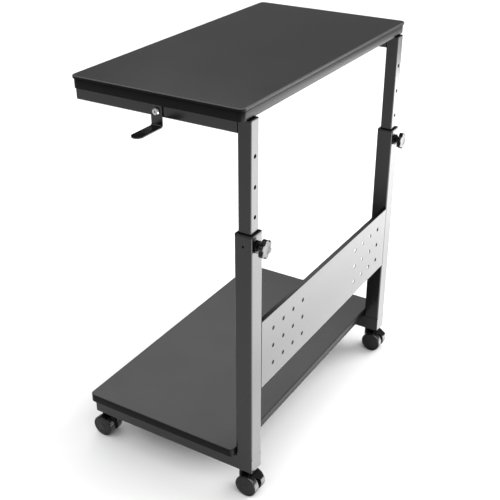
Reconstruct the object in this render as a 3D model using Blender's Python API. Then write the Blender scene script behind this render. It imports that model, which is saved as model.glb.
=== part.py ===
"""Rolling computer-tower stand with a height-adjustable side table.

Metres, +Z up.  The origin is on the floor under the middle of the stand.
+X points from the open side of the frames towards the legs, and the near
frame is at -Y, the far frame at +Y.  The table is drawn at the height where
its fourth adjusting hole is behind the clamp knobs.
"""
import math

import bmesh
import bpy
from mathutils import Matrix, Vector

# ---------------------------------------------------------------- sizes
GAP = 0.0003               # clearance kept between touching pieces
SWIVEL_GAP = 0.0002        # running clearance round pins and axles

TOP_WIDTH = 0.300          # table along X
TOP_LENGTH = 0.560         # table along Y
TOP_HEIGHT = 0.687         # floor to table top
SHEET_THICK = 0.005        # hard top sheet
SHEET_OVERHANG = 0.0015    # sheet past the board under it
BOARD_THICK = 0.015        # table board and shelf board
CORNER_RADIUS = 0.009      # plan corners of sheet and boards
EDGE_BREAK = 0.0008        # small chamfer on sheet and boards

OUTER_TUBE = 0.030         # square tube of feet and lower legs
INNER_TUBE = 0.022         # square tube of upper legs and arms
TUBE_WALL = 0.0015
TUBE_CORNER = 0.0022       # outside corner radius of the tubes
FOOT_LENGTH = 0.330
OUTER_LEG_LENGTH = 0.409   # from the top of the foot
FRAME_INSET = 0.0268       # end of the table to the frame's centre line
ARM_PAST_TOP = 0.0045      # arm past the table's open side
LEG_PAST_TOP = 0.003       # upper leg past the table's other side
INNER_LEG_HIDDEN = 0.1395  # upper leg inside the lower leg, as drawn
SHELF_OVERHANG = 0.002     # shelf past the open ends of the feet
CAP_THICK = 0.0022         # visible flange of a tube cap
CAP_PLUG = 0.010           # part of a cap inside its tube
CAP_EDGE = 0.0006          # broken edge of a cap
PLUG_CORNER = 0.0006       # corner radius of parts that fit inside a tube
WALL_CUT = 3 * TUBE_WALL   # drill length that goes through one wall

BUSH_FLANGE = 0.0035
BUSH_DEPTH = 0.028
BUSH_EDGE = 0.0012
GLIDE_HEIGHT = 0.012       # plastic shoe on the upper leg's lower end
GLIDE_TAPER = 0.002        # height of its lead-in
GLIDE_LEAD = 0.001         # how far the lead-in narrows

HOLE_PITCH = 0.0468        # adjusting holes
HOLE_RADIUS = 0.0033
HOLES_ABOVE = 3            # adjusting holes over the one in use
HOLES_BELOW = 2
LOCK_DROP = 0.018          # clamp axis below the lower leg's top
SIDE_HOLE_RADIUS = 0.0021  # small hole in the lower leg's outward face
SIDE_HOLE_DROP = 0.0155

STUD_RADIUS = 0.003
STUD_CHAMFER = 0.0008
NUT_RADIUS = 0.0048
NUT_FLANGE = 0.0065
NUT_FLANGE_THICK = 0.0008
KNOB_REACH = 0.0168        # leg face to the knob's outer face
KNOB_RADIUS = 0.0154       # over the lobes
KNOB_LOBE_DEPTH = 0.0036
KNOB_LOBES = 6
KNOB_HEAD = 0.0075         # thickness of the lobed head
KNOB_BASE_RADIUS = 0.0100  # flare against the leg
KNOB_NECK_RADIUS = 0.0054
KNOB_CROWN = 0.004         # solid plastic past the end of the stud's bore
KNOB_EDGE = 0.0012         # broken edges of the head

PANEL_BOTTOM = 0.208
PANEL_HEIGHT = 0.1255
PANEL_SHEET = 0.0012
PANEL_FLANGE = 0.0075
PANEL_TAB = 0.016
PERF_PITCH = 0.033
PERF_RADIUS = 0.0038
PERF_COLUMNS = 4
PERF_ROWS = 3
PERF_END = 0.0365          # end of the panel to the first column
PANEL_SCREW_INSET = 0.022  # screws from the panel's top and bottom
PANEL_SCREW_RADIUS = 0.0020
PANEL_SCREW_HEAD_RADIUS = 0.0038
PANEL_SCREW_HEAD = 0.0022
PANEL_SCREW_LENGTH = 0.0032    # ends inside the leg's wall, clear of the glide
PANEL_CUT = 4 * PANEL_SHEET    # punch length that goes through the sheet

HOOK_X = 0.0
HOOK_WIDTH = 0.020
HOOK_SHEET = 0.002
HOOK_TOP_GAP = 0.003       # hook plate below the table board
HOOK_DROP = 0.0355         # table board to the tongue's upper face
HOOK_REACH = 0.0415        # tongue past the end of the table
HOOK_BEND = 0.003          # inside radius of the bend
HOOK_SCREW_DROP = 0.0135   # screw below the table board
SCREW_RADIUS = 0.0028
SCREW_HEAD_RADIUS = 0.0058
SCREW_HEAD = 0.0032
HOOK_SCREW_LENGTH = 0.012
RECESS = 0.42              # driver's recess and rim, as shares of a screw head
RIM = 0.45
DOME = 0.72

WHEEL_RADIUS = 0.020
WHEEL_WIDTH = 0.0128
WHEEL_SPACE = 0.0088       # between the two wheels of a caster
WHEEL_SKIN = 0.003         # closed outer face past the end of the axle
WHEEL_INNER_EDGE = (0.0015, 0.0022)    # rounding of the tread, inwards and along
WHEEL_OUTER_EDGE = (0.0014, 0.0030)
WHEEL_RIM = 0.0028         # tread to the crest of the outer face's rim
WHEEL_DISH = 0.0008        # depth and width of the step inside that rim
CASTER_RISE = 0.0105       # top of the wheels to the foot tube
CASTER_TRAIL = 0.0127
STEM_INSET = 0.0245        # stem from the end of the foot
STEM_RADIUS = 0.004
STEM_LENGTH = 0.014        # part inside the foot tube
STEM_COLLAR_RADIUS = 0.0070
STEM_COLLAR = 0.0024
STEM_CHAMFER = 0.0008
PIN_RADIUS = 0.0025        # lower end of the stem, in the hood
PIN_LENGTH = 0.020
AXLE_RADIUS = 0.0020
HOOD_WALL = 0.0016
HOOD_CLEARANCE = 0.0008    # fender to wheel
HOOD_BACK = 118            # fender's ends, in degrees round the axle
HOOD_FRONT = 78
SOCKET_RADIUS = 0.0078
SOCKET_EDGE = 0.0012
HOOD_CUT = 0.040           # drill length that goes right through a hood
HUB_RADIUS = 0.0065
LUG_WIDTH = 0.0022
LUG_BEHIND = 0.0030        # lug past the lever's pin, each way
LUG_AHEAD = 0.0022
LUG_ABOVE = 0.0024
LUG_ROOT = 0.0012          # lug sunk into the fender
LEVER_AHEAD = 0.0015       # lever's pin past the axle
LEVER_BARREL = 0.0021
LEVER_BARREL_HALF = 0.0070
LEVER_PIN = 0.0011
LEVER_THICK = 0.0026
LEVER_BEND = 0.0074        # pin to where the lever turns down
LEVER_BEND_DROP = 0.0021
LEVER_BEND_HALF = 0.0105   # half width there
LEVER_REACH = 0.0228       # pin to the tip
LEVER_TIP_DROP = 0.0066
LEVER_TIP_HALF = 0.0045
LEVER_PRESS = 12           # degrees from free to braked
SHOE_NEAR = 0.005          # brake shoe's edges, from the pin
SHOE_FAR = 0.009
SHOE_HALF = 0.010

# ------------------------------------------------- places worked out
FRAME_Y = TOP_LENGTH / 2 - FRAME_INSET
WHEEL_PAST = WHEEL_RADIUS + CASTER_TRAIL - STEM_INSET     # wheel past the foot
CASTER_HEIGHT = 2 * WHEEL_RADIUS + CASTER_RISE            # floor to the foot tube
HOOD_RADIUS = WHEEL_RADIUS + HOOD_CLEARANCE + HOOD_WALL
FOOT_LEFT = (WHEEL_PAST - FOOT_LENGTH - KNOB_REACH) / 2
LEG_FACE = FOOT_LEFT + FOOT_LENGTH            # outer faces of the legs
LEG_X = LEG_FACE - OUTER_TUBE / 2
TOP_X = LEG_X + INNER_TUBE / 2 - LEG_PAST_TOP - TOP_WIDTH / 2   # middle of the table
FOOT_TOP = CASTER_HEIGHT + OUTER_TUBE
LEG_TOP = FOOT_TOP + OUTER_LEG_LENGTH
LOCK_Z = LEG_TOP - LOCK_DROP
SHEET_BOTTOM = TOP_HEIGHT - SHEET_THICK
BOARD_TOP = SHEET_BOTTOM - GAP
BOARD_BOTTOM = BOARD_TOP - BOARD_THICK
ARM_TOP = BOARD_BOTTOM - GAP
ARM_Z = ARM_TOP - INNER_TUBE / 2
INNER_LEG_BOTTOM = LEG_TOP - INNER_LEG_HIDDEN
INNER_FACE = LEG_X + INNER_TUBE / 2
AXLE_Z = WHEEL_RADIUS
PIVOT_X = CASTER_TRAIL + LEVER_AHEAD          # lever's pin, from the swivel axis
PIVOT_Z = AXLE_Z + HOOD_RADIUS + LEVER_BARREL + 2 * GAP

AXES = {
    "Z": Matrix.Identity(4),
    "X": Matrix.Rotation(math.pi / 2, 4, "Y"),
    "-X": Matrix.Rotation(-math.pi / 2, 4, "Y"),
    "Y": Matrix.Rotation(-math.pi / 2, 4, "X"),
    "-Y": Matrix.Rotation(math.pi / 2, 4, "X"),
}


# ------------------------------------------------------------- helpers
def clear_scene():
    for obj in list(bpy.data.objects):
        bpy.data.objects.remove(obj, do_unlink=True)


def material(name, colour, roughness, metallic=0.0):
    found = bpy.data.materials.get(name)
    if found:
        return found
    made = bpy.data.materials.new(name)
    made.use_nodes = True
    shader = made.node_tree.nodes["Principled BSDF"]
    shader.inputs["Base Color"].default_value = (*colour, 1.0)
    shader.inputs["Roughness"].default_value = roughness
    shader.inputs["Metallic"].default_value = metallic
    return made


def powder_coat():
    return material("black_powder_coat", (0.020, 0.020, 0.022), 0.38)


def black_laminate():
    return material("black_laminate", (0.018, 0.018, 0.019), 0.42)


def top_finish():
    return material("black_top_sheet", (0.012, 0.012, 0.013), 0.22)


def black_plastic():
    return material("black_plastic", (0.014, 0.014, 0.015), 0.45)


def wheel_plastic():
    return material("wheel_plastic", (0.030, 0.030, 0.032), 0.50)


def zinc_steel():
    return material("zinc_steel", (0.62, 0.62, 0.64), 0.30, 1.0)


def finish_object(name, bm, mat, location=(0, 0, 0), axis="Z", parent=None):
    """Turn a bmesh into a named object whose local +Z lies along `axis`."""
    bmesh.ops.recalc_face_normals(bm, faces=bm.faces)
    mesh = bpy.data.meshes.new(name)
    bm.to_mesh(mesh)
    bm.free()
    mesh.shade_smooth()
    mesh.set_sharp_from_angle(angle=math.radians(35))
    mesh.materials.append(mat)
    obj = bpy.data.objects.new(name, mesh)
    bpy.context.scene.collection.objects.link(obj)
    obj.matrix_local = Matrix.Translation(Vector(location)) @ AXES[axis]
    obj.parent = parent
    return obj


def circle(radius, z, steps=20):
    """Ring of points round local Z."""
    return [(radius * math.cos(a), radius * math.sin(a), z)
            for a in (2 * math.pi * i / steps for i in range(steps))]


def rounded_rectangle(half_x, half_y, radius, z, steps=2):
    """Ring of a rectangle with round corners, anticlockwise."""
    points = []
    for quarter in range(4):
        sx = 1 if quarter in (0, 3) else -1
        sy = 1 if quarter in (0, 1) else -1
        for i in range(steps + 1):
            a = math.pi / 2 * (quarter + i / steps)
            points.append((sx * (half_x - radius) + radius * math.cos(a),
                           sy * (half_y - radius) + radius * math.sin(a), z))
    return points


def square(half, radius, z, steps=2):
    return rounded_rectangle(half, half, radius, z, steps)


def loft(rings, closed=False):
    """Skin through rings of equal length; capped, or closed on itself."""
    bm = bmesh.new()
    loops = [[bm.verts.new(point) for point in ring] for ring in rings]
    pairs = list(zip(loops, loops[1:]))
    if closed:
        pairs.append((loops[-1], loops[0]))
    for lower, upper in pairs:
        count = len(lower)
        for i in range(count):
            j = (i + 1) % count
            bm.faces.new((lower[i], lower[j], upper[j], upper[i]))
    if not closed:
        bm.faces.new(reversed(loops[0]))
        bm.faces.new(loops[-1])
    return bm


def lathe(profile, steps=20):
    """Solid of revolution about local Z from (radius, z) points."""
    return loft([circle(r, z, steps) for r, z in profile])


def tube(half, length, wall, corner=TUBE_CORNER):
    """Open square tube from z = 0 to z = length."""
    bore = corner - wall
    return loft([square(half, corner, 0), square(half, corner, length),
                 square(half - wall, bore, length),
                 square(half - wall, bore, 0)], closed=True)


def block(x0, x1, y0, y1, z0, z1):
    bm = bmesh.new()
    bmesh.ops.create_cube(bm, size=1.0)
    for vert in bm.verts:
        vert.co = Vector(((x0 + x1) / 2 + vert.co.x * (x1 - x0),
                          (y0 + y1) / 2 + vert.co.y * (y1 - y0),
                          (z0 + z1) / 2 + vert.co.z * (z1 - z0)))
    return bm


def cutter(name, pieces, parent=None):
    """Hidden tool made of (bmesh, location, axis) pieces."""
    whole = bmesh.new()
    for bm, location, axis in pieces:
        bmesh.ops.recalc_face_normals(bm, faces=bm.faces)
        bm.transform(Matrix.Translation(Vector(location)) @ AXES[axis])
        scratch = bpy.data.meshes.new("scratch")
        bm.to_mesh(scratch)
        bm.free()
        whole.from_mesh(scratch)
        bpy.data.meshes.remove(scratch)
    mesh = bpy.data.meshes.new(name)
    whole.to_mesh(mesh)
    whole.free()
    obj = bpy.data.objects.new(name, mesh)
    bpy.context.scene.collection.objects.link(obj)
    obj.parent = parent
    obj.hide_render = True
    obj.display_type = "WIRE"
    return obj


def combine(obj, tool, operation):
    modifier = obj.modifiers.new(tool.name, "BOOLEAN")
    modifier.operation = operation
    modifier.object = tool
    modifier.solver = "EXACT"


def drill(obj, holes, parent=None):
    """Cut (location, axis, radius, length) holes, centred on location."""
    pieces = [(lathe([(radius, -length / 2), (radius, length / 2)], 12), location, axis)
              for location, axis, radius, length in holes]
    combine(obj, cutter(obj.name + "_holes", pieces, parent), "DIFFERENCE")


# ------------------------------------------------------ flat boards
def plate(name, centre, half_x, half_y, z0, z1, mat):
    """Board or sheet with round plan corners and broken edges."""
    b = EDGE_BREAK
    steps = 5
    rings = [rounded_rectangle(half_x - b, half_y - b, CORNER_RADIUS - b, z0, steps),
             rounded_rectangle(half_x, half_y, CORNER_RADIUS, z0 + b, steps),
             rounded_rectangle(half_x, half_y, CORNER_RADIUS, z1 - b, steps),
             rounded_rectangle(half_x - b, half_y - b, CORNER_RADIUS - b, z1, steps)]
    return finish_object(name, loft(rings), mat, location=(centre, 0, 0))


def table_top():
    plate("top_sheet", TOP_X, TOP_WIDTH / 2, TOP_LENGTH / 2, SHEET_BOTTOM, TOP_HEIGHT, top_finish())
    plate("tabletop_board", TOP_X, TOP_WIDTH / 2 - SHEET_OVERHANG, TOP_LENGTH / 2 - SHEET_OVERHANG,
          BOARD_BOTTOM, BOARD_TOP, black_laminate())


def shelf():
    left = FOOT_LEFT - SHELF_OVERHANG
    right = LEG_FACE - OUTER_TUBE - GAP
    bottom = FOOT_TOP + GAP
    plate("shelf_board", (left + right) / 2, (right - left) / 2, TOP_LENGTH / 2,
          bottom, bottom + BOARD_THICK, black_laminate())


# ------------------------------------------------------------ frames
def tube_cap(name, half, location, axis, mat):
    """Flush cap with a plug that sits inside the tube.

    Local z = 0 is the tube's end, and +Z points out of the tube."""
    plug = half - TUBE_WALL - GAP
    rings = [square(plug, PLUG_CORNER, -CAP_PLUG), square(plug, PLUG_CORNER, GAP),
             square(half, TUBE_CORNER, GAP), square(half, TUBE_CORNER, CAP_THICK - CAP_EDGE),
             square(half - CAP_EDGE, TUBE_CORNER - CAP_EDGE, CAP_THICK)]
    finish_object(name, loft(rings), mat, location, axis)


def foot(prefix, side):
    y = side * FRAME_Y
    z = CASTER_HEIGHT + OUTER_TUBE / 2
    inner = OUTER_TUBE / 2
    length = FOOT_LENGTH - 2 * CAP_THICK
    made = finish_object(prefix + "_foot_tube", tube(inner, length, TUBE_WALL), powder_coat(),
                         (FOOT_LEFT + CAP_THICK, y, z), "X")
    stems = [((x, y, CASTER_HEIGHT), "Z", STEM_RADIUS + GAP, WALL_CUT)
             for x in (FOOT_LEFT + STEM_INSET, LEG_FACE - STEM_INSET)]
    drill(made, stems)
    tube_cap(prefix + "_foot_cap", inner, (FOOT_LEFT + CAP_THICK, y, z), "-X", black_plastic())
    tube_cap(prefix + "_foot_end_plate", inner, (LEG_FACE - CAP_THICK, y, z), "X", powder_coat())


def panel_screw_places(side):
    """Screw centres on the inner side of one leg."""
    face = side * (FRAME_Y - OUTER_TUBE / 2)
    x = LEG_FACE - PANEL_SHEET - (PANEL_TAB - PANEL_SHEET) / 2
    return [(x, face, z) for z in (PANEL_BOTTOM + PANEL_SCREW_INSET,
                                   PANEL_BOTTOM + PANEL_HEIGHT - PANEL_SCREW_INSET)]


def outer_leg(prefix, side):
    y = side * FRAME_Y
    bottom = FOOT_TOP + GAP
    made = finish_object(prefix + "_outer_leg", tube(OUTER_TUBE / 2, LEG_TOP - bottom, TUBE_WALL),
                         powder_coat(), (LEG_X, y, bottom))
    holes = [((LEG_FACE - TUBE_WALL / 2, y, LOCK_Z), "X", NUT_RADIUS + GAP, WALL_CUT),
             ((LEG_X, y + side * (OUTER_TUBE / 2 - TUBE_WALL / 2), LEG_TOP - SIDE_HOLE_DROP), "Y",
              SIDE_HOLE_RADIUS, WALL_CUT)]
    holes += [((x, face + side * TUBE_WALL / 2, z), "Y", PANEL_SCREW_RADIUS + GAP, WALL_CUT)
              for x, face, z in panel_screw_places(side)]
    drill(made, holes)


def bush(prefix, side):
    """Plastic sleeve in the lower leg's mouth, with a square collar on top."""
    y = side * FRAME_Y
    sleeve = OUTER_TUBE / 2 - TUBE_WALL - GAP
    bore = INNER_TUBE / 2 + GAP
    collar = OUTER_TUBE / 2
    rings = [square(sleeve, PLUG_CORNER, -BUSH_DEPTH), square(sleeve, PLUG_CORNER, GAP),
             square(collar, TUBE_CORNER, GAP), square(collar, TUBE_CORNER, BUSH_FLANGE - BUSH_EDGE),
             square(collar - BUSH_EDGE, TUBE_CORNER, BUSH_FLANGE), square(bore, TUBE_CORNER, BUSH_FLANGE),
             square(bore, TUBE_CORNER, -BUSH_DEPTH)]
    made = finish_object(prefix + "_leg_bush", loft(rings, closed=True), black_plastic(),
                         (LEG_X, y, LEG_TOP))
    drill(made, [((LEG_X + (sleeve + bore) / 2, y, LOCK_Z), "X", NUT_RADIUS + GAP, WALL_CUT)])


def clamp_nut(prefix, side):
    """Threaded insert in the lower leg's outer wall, under the knob."""
    depth = OUTER_TUBE / 2 - INNER_TUBE / 2 - 2 * GAP
    bore = STUD_RADIUS + GAP
    rings = [circle(bore, -depth), circle(NUT_RADIUS, -depth), circle(NUT_RADIUS, GAP),
             circle(NUT_FLANGE, GAP), circle(NUT_FLANGE, GAP + NUT_FLANGE_THICK),
             circle(bore, GAP + NUT_FLANGE_THICK)]
    finish_object(prefix + "_clamp_nut", loft(rings, closed=True), zinc_steel(),
                  (LEG_FACE, side * FRAME_Y, LOCK_Z), "X")


def inner_leg(prefix, side):
    y = side * FRAME_Y
    half = INNER_TUBE / 2
    top = ARM_TOP - CAP_THICK
    made = finish_object(prefix + "_inner_leg", tube(half, top - INNER_LEG_BOTTOM, TUBE_WALL),
                         powder_coat(), (LEG_X, y, INNER_LEG_BOTTOM))
    holes = [((INNER_FACE - TUBE_WALL / 2, y, LOCK_Z + i * HOLE_PITCH), "X", HOLE_RADIUS, WALL_CUT)
             for i in range(-HOLES_BELOW, HOLES_ABOVE + 1)]
    drill(made, holes)
    tube_cap(prefix + "_leg_top_plug", half, (LEG_X, y, top), "Z", black_plastic())
    glide(prefix, y)


def glide(prefix, y):
    """Shoe that keeps the upper leg central in the lower one."""
    plug = INNER_TUBE / 2 - TUBE_WALL - GAP
    shoe = OUTER_TUBE / 2 - TUBE_WALL - GAP
    rings = [square(shoe - GLIDE_LEAD, PLUG_CORNER, -GLIDE_HEIGHT),
             square(shoe, PLUG_CORNER, GLIDE_TAPER - GLIDE_HEIGHT),
             square(shoe, PLUG_CORNER, -GAP), square(plug, PLUG_CORNER, -GAP),
             square(plug, PLUG_CORNER, CAP_PLUG)]
    finish_object(prefix + "_leg_glide", loft(rings), black_plastic(), (LEG_X, y, INNER_LEG_BOTTOM))


def arm(prefix, side):
    y = side * FRAME_Y
    left = TOP_X - TOP_WIDTH / 2 - ARM_PAST_TOP
    right = LEG_X - INNER_TUBE / 2 - GAP
    start = left + CAP_THICK
    made = finish_object(prefix + "_arm", tube(INNER_TUBE / 2, right - start, TUBE_WALL),
                         powder_coat(), (start, y, ARM_Z), "X")
    wall = y + side * (INNER_TUBE / 2 - TUBE_WALL / 2)
    drill(made, [((HOOK_X, wall, BOARD_BOTTOM - HOOK_SCREW_DROP), "Y", SCREW_RADIUS + GAP, WALL_CUT)])
    tube_cap(prefix + "_arm_cap", INNER_TUBE / 2, (start, y, ARM_Z), "-X", black_plastic())


# ------------------------------------------------------ clamp knobs
def lobed_ring(radius, depth, z, steps=36):
    """Star outline: `depth` is how far the hollows cut in."""
    ring = []
    for i in range(steps):
        a = 2 * math.pi * i / steps
        hollow = (0.5 - 0.5 * math.cos(KNOB_LOBES * a)) ** 1.6
        r = radius - depth * hollow
        ring.append((r * math.cos(a), r * math.sin(a), z))
    return ring


def clamp_knob(prefix, side):
    """Bell-shaped neck and lobed head, with a blind bore for the stud."""
    place = (LEG_FACE, side * FRAME_Y, LOCK_Z)
    base = GAP + NUT_FLANGE_THICK + GAP
    head = KNOB_REACH - KNOB_HEAD
    bore = STUD_RADIUS + GAP
    bore_end = KNOB_REACH - KNOB_CROWN
    edge = KNOB_EDGE
    neck = [(KNOB_BASE_RADIUS, base)]
    for i in range(4):
        t = i / 3
        radius = KNOB_NECK_RADIUS + (KNOB_BASE_RADIUS - KNOB_NECK_RADIUS) * (1 - t) ** 2.2
        neck.append((radius, base + edge + (head - base - edge) * t))
    rings = [lobed_ring(bore, 0, bore_end), lobed_ring(bore, 0, base)]
    rings += [lobed_ring(r, 0, z) for r, z in neck]
    rings += [lobed_ring(KNOB_RADIUS - edge, KNOB_LOBE_DEPTH, head),
              lobed_ring(KNOB_RADIUS, KNOB_LOBE_DEPTH, head + edge),
              lobed_ring(KNOB_RADIUS, KNOB_LOBE_DEPTH, KNOB_REACH - edge),
              lobed_ring(KNOB_RADIUS - edge, KNOB_LOBE_DEPTH, KNOB_REACH)]
    finish_object(prefix + "_clamp_knob", loft(rings), black_plastic(), place, "X")

    tip = INNER_FACE + GAP - LEG_FACE
    stud = [(STUD_RADIUS - STUD_CHAMFER, tip), (STUD_RADIUS, tip + STUD_CHAMFER),
            (STUD_RADIUS, bore_end - GAP)]
    finish_object(prefix + "_clamp_stud", lathe(stud, 16), zinc_steel(), place, "X")


# ---------------------------------------------------- panel and hooks
def modesty_panel():
    """Perforated sheet between the legs, with folded edges and end tabs."""
    half = FRAME_Y - OUTER_TUBE / 2 - GAP
    top = PANEL_BOTTOM + PANEL_HEIGHT
    s = PANEL_SHEET
    made = finish_object("modesty_panel", block(LEG_FACE - s, LEG_FACE, -half, half, PANEL_BOTTOM, top),
                         powder_coat())
    inset = half - s
    folds = [block(LEG_FACE - PANEL_FLANGE, LEG_FACE - s / 2, -inset, inset, top - s, top),
             block(LEG_FACE - PANEL_FLANGE, LEG_FACE - s / 2, -inset, inset, PANEL_BOTTOM, PANEL_BOTTOM + s)]
    low = PANEL_BOTTOM + PANEL_SCREW_INSET / 2
    high = top - PANEL_SCREW_INSET / 2
    tabs = [block(LEG_FACE - PANEL_TAB, LEG_FACE - s / 2, min(a, b), max(a, b), low, high)
            for a, b in ((half, half - s), (-half, s - half))]
    for i, bm in enumerate(folds + tabs):
        combine(made, cutter("panel_fold_%d" % i, [(bm, (0, 0, 0), "Z")]), "UNION")
    middle = (PANEL_BOTTOM + top) / 2
    holes = []
    for side in (-1, 1):
        for column in range(PERF_COLUMNS):
            y = side * (FRAME_Y - OUTER_TUBE / 2 - PERF_END - column * PERF_PITCH)
            for row in range(PERF_ROWS):
                z = middle + (row - (PERF_ROWS - 1) / 2) * PERF_PITCH
                holes.append(((LEG_FACE - s / 2, y, z), "X", PERF_RADIUS, PANEL_CUT))
        holes += [((x, face - side * s, z), "Y", PANEL_SCREW_RADIUS + GAP, PANEL_CUT)
                  for x, face, z in panel_screw_places(side)]
    drill(made, holes)


def pan_screw(name, location, axis, shank_radius, head_radius, head, shank):
    """Screw with a domed head; local z = 0 is under the head, shank to -Z."""
    recess = head_radius * RECESS
    profile = [(shank_radius, -shank), (shank_radius, 0),
               (head_radius, 0), (head_radius, head * RIM), (head_radius * DOME, head),
               (recess, head), (recess, head * RECESS)]
    finish_object(name, lathe(profile, 14), zinc_steel(), location, axis)


def panel_screws(prefix, side):
    axis = "-Y" if side > 0 else "Y"
    for level, (x, face, z) in zip(("lower", "upper"), panel_screw_places(side)):
        seat = face - side * (PANEL_SHEET + 2 * GAP)
        pan_screw("%s_%s_panel_screw" % (prefix, level), (x, seat, z), axis,
                  PANEL_SCREW_RADIUS, PANEL_SCREW_HEAD_RADIUS, PANEL_SCREW_HEAD, PANEL_SCREW_LENGTH)


def hook_path():
    """Middle line of the hook's strip as (outward, z) points."""
    top = BOARD_BOTTOM - HOOK_TOP_GAP
    wall = INNER_TUBE / 2 + GAP + HOOK_SHEET / 2
    tongue = BOARD_BOTTOM - HOOK_DROP - HOOK_SHEET / 2
    tip = FRAME_INSET + HOOK_REACH
    r = HOOK_BEND + HOOK_SHEET / 2
    path = [(wall, top)]
    for i in range(5):
        a = math.pi / 2 * i / 4
        path.append((wall + r * (1 - math.cos(a)), tongue + r * (1 - math.sin(a))))
    round_start = tip - HOOK_WIDTH / 2
    for i in range(8):
        path.append((round_start + HOOK_WIDTH / 2 * math.sin(math.pi / 2 * i / 7.35), tongue))
    return path, round_start


def hook(prefix, side):
    """Bent strip screwed to the outside of the arm; its tongue has a round end."""
    path, round_start = hook_path()
    rings = []
    for i, (out, z) in enumerate(path):
        before = path[max(i - 1, 0)]
        after = path[min(i + 1, len(path) - 1)]
        run = Vector((after[0] - before[0], after[1] - before[1])).normalized()
        normal = Vector((-run.y, run.x)) * HOOK_SHEET / 2
        past = max(out - round_start, 0)
        half = math.sqrt(max((HOOK_WIDTH / 2) ** 2 - past ** 2, 0))
        rings.append([(sx * half, side * (out + sn * normal.x), z + sn * normal.y)
                      for sx, sn in ((-1, -1), (1, -1), (1, 1), (-1, 1))])
    y = side * FRAME_Y
    made = finish_object(prefix + "_hook", loft(rings), powder_coat(), (HOOK_X, y, 0))
    screw_z = BOARD_BOTTOM - HOOK_SCREW_DROP
    wall = side * (INNER_TUBE / 2 + GAP + HOOK_SHEET / 2)
    drill(made, [((HOOK_X, y + wall, screw_z), "Y", SCREW_RADIUS + GAP, 3 * HOOK_SHEET)])
    seat = y + side * (INNER_TUBE / 2 + HOOK_SHEET + 2 * GAP)
    pan_screw(prefix + "_hook_screw", (HOOK_X, seat, screw_z), "Y" if side > 0 else "-Y",
              SCREW_RADIUS, SCREW_HEAD_RADIUS, SCREW_HEAD, HOOK_SCREW_LENGTH)


# ------------------------------------------------------------ casters
def wheel(name, side, parent):
    """One wheel: rounded tread, dished outer face, blind bore for the axle."""
    r = WHEEL_RADIUS
    w = WHEEL_WIDTH
    bore = AXLE_RADIUS + SWIVEL_GAP
    crest = r - WHEEL_RIM
    profile = [(bore, w - WHEEL_SKIN), (bore, 0), (r - WHEEL_INNER_EDGE[0], 0), (r, WHEEL_INNER_EDGE[1]),
               (r, w - WHEEL_OUTER_EDGE[1]), (r - WHEEL_OUTER_EDGE[0], w - WHEEL_DISH), (crest, w),
               (crest - WHEEL_DISH, w - WHEEL_DISH)]
    rings = [circle(radius, z, 28) for radius, z in profile]
    y = side * WHEEL_SPACE / 2
    finish_object(name, loft(rings), wheel_plastic(), (CASTER_TRAIL, y, AXLE_Z),
                  "Y" if side > 0 else "-Y", parent)


def hood(name, with_lugs, parent):
    """Fender, web and stem socket in one moulding.

    The fender wraps the wheels from the socket side to just past the top."""
    full = WHEEL_SPACE / 2 + WHEEL_WIDTH
    web = WHEEL_SPACE / 2 - GAP
    top = CASTER_HEIGHT - STEM_COLLAR - 2 * GAP
    sector = [(0.0, 0.0)]
    for i in range(7):
        a = math.radians(HOOD_BACK - (HOOD_BACK - HOOD_FRONT) * i / 6)
        sector.append((HOOD_RADIUS * math.cos(a), HOOD_RADIUS * math.sin(a)))
    wedge = loft([[(x, -z, y) for x, z in sector] for y in (-full, full)])
    made = finish_object(name, wedge, black_plastic(), (CASTER_TRAIL, 0, AXLE_Z), "Y", parent)

    socket = lathe([(SOCKET_RADIUS, AXLE_Z), (SOCKET_RADIUS, top - SOCKET_EDGE),
                    (SOCKET_RADIUS - SOCKET_EDGE, top)])
    hub = lathe([(HUB_RADIUS, -web), (HUB_RADIUS, web)], 16)
    combine(made, cutter(name + "_socket", [(socket, (0, 0, 0), "Z")], parent), "UNION")
    combine(made, cutter(name + "_hub", [(hub, (CASTER_TRAIL, 0, AXLE_Z), "Y")], parent), "UNION")
    if with_lugs:
        for i, side in enumerate((-1, 1)):
            a = side * (LEVER_BARREL_HALF + GAP)
            b = a + side * LUG_WIDTH
            lug = block(PIVOT_X - LUG_BEHIND, PIVOT_X + LUG_AHEAD, min(a, b), max(a, b),
                        AXLE_Z + HOOD_RADIUS - LUG_ROOT, PIVOT_Z + LUG_ABOVE)
            combine(made, cutter("%s_lug_%d" % (name, i), [(lug, (0, 0, 0), "Z")], parent), "UNION")
    clear = WHEEL_RADIUS + HOOD_CLEARANCE
    depth = full + HOOD_CLEARANCE - web
    room_tools = [(lathe([(clear, -depth / 2), (clear, depth / 2)], 32),
                   (CASTER_TRAIL, side * (web + depth / 2), AXLE_Z), "Y") for side in (-1, 1)]
    combine(made, cutter(name + "_rooms", room_tools, parent), "DIFFERENCE")
    holes = [((0, 0, top - PIN_LENGTH / 2), "Z", PIN_RADIUS + SWIVEL_GAP, PIN_LENGTH + 2 * GAP),
             ((CASTER_TRAIL, 0, AXLE_Z), "Y", AXLE_RADIUS + GAP, HOOD_CUT)]
    if with_lugs:
        holes.append(((PIVOT_X, 0, PIVOT_Z), "Y", LEVER_PIN + GAP, HOOD_CUT))
    drill(made, holes, parent)


def shoe_drop(along):
    """Depth under the pin at which a point `along` meets the tread when pressed."""
    turn = math.radians(LEVER_PRESS)
    sine = math.sin(turn)
    cosine = math.cos(turn)
    ahead = LEVER_AHEAD + along * cosine
    above = PIVOT_Z - AXLE_Z - along * sine
    reach = ahead * sine + above * cosine
    return reach - math.sqrt(reach ** 2 - ahead ** 2 - above ** 2 + (WHEEL_RADIUS + GAP) ** 2)


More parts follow.
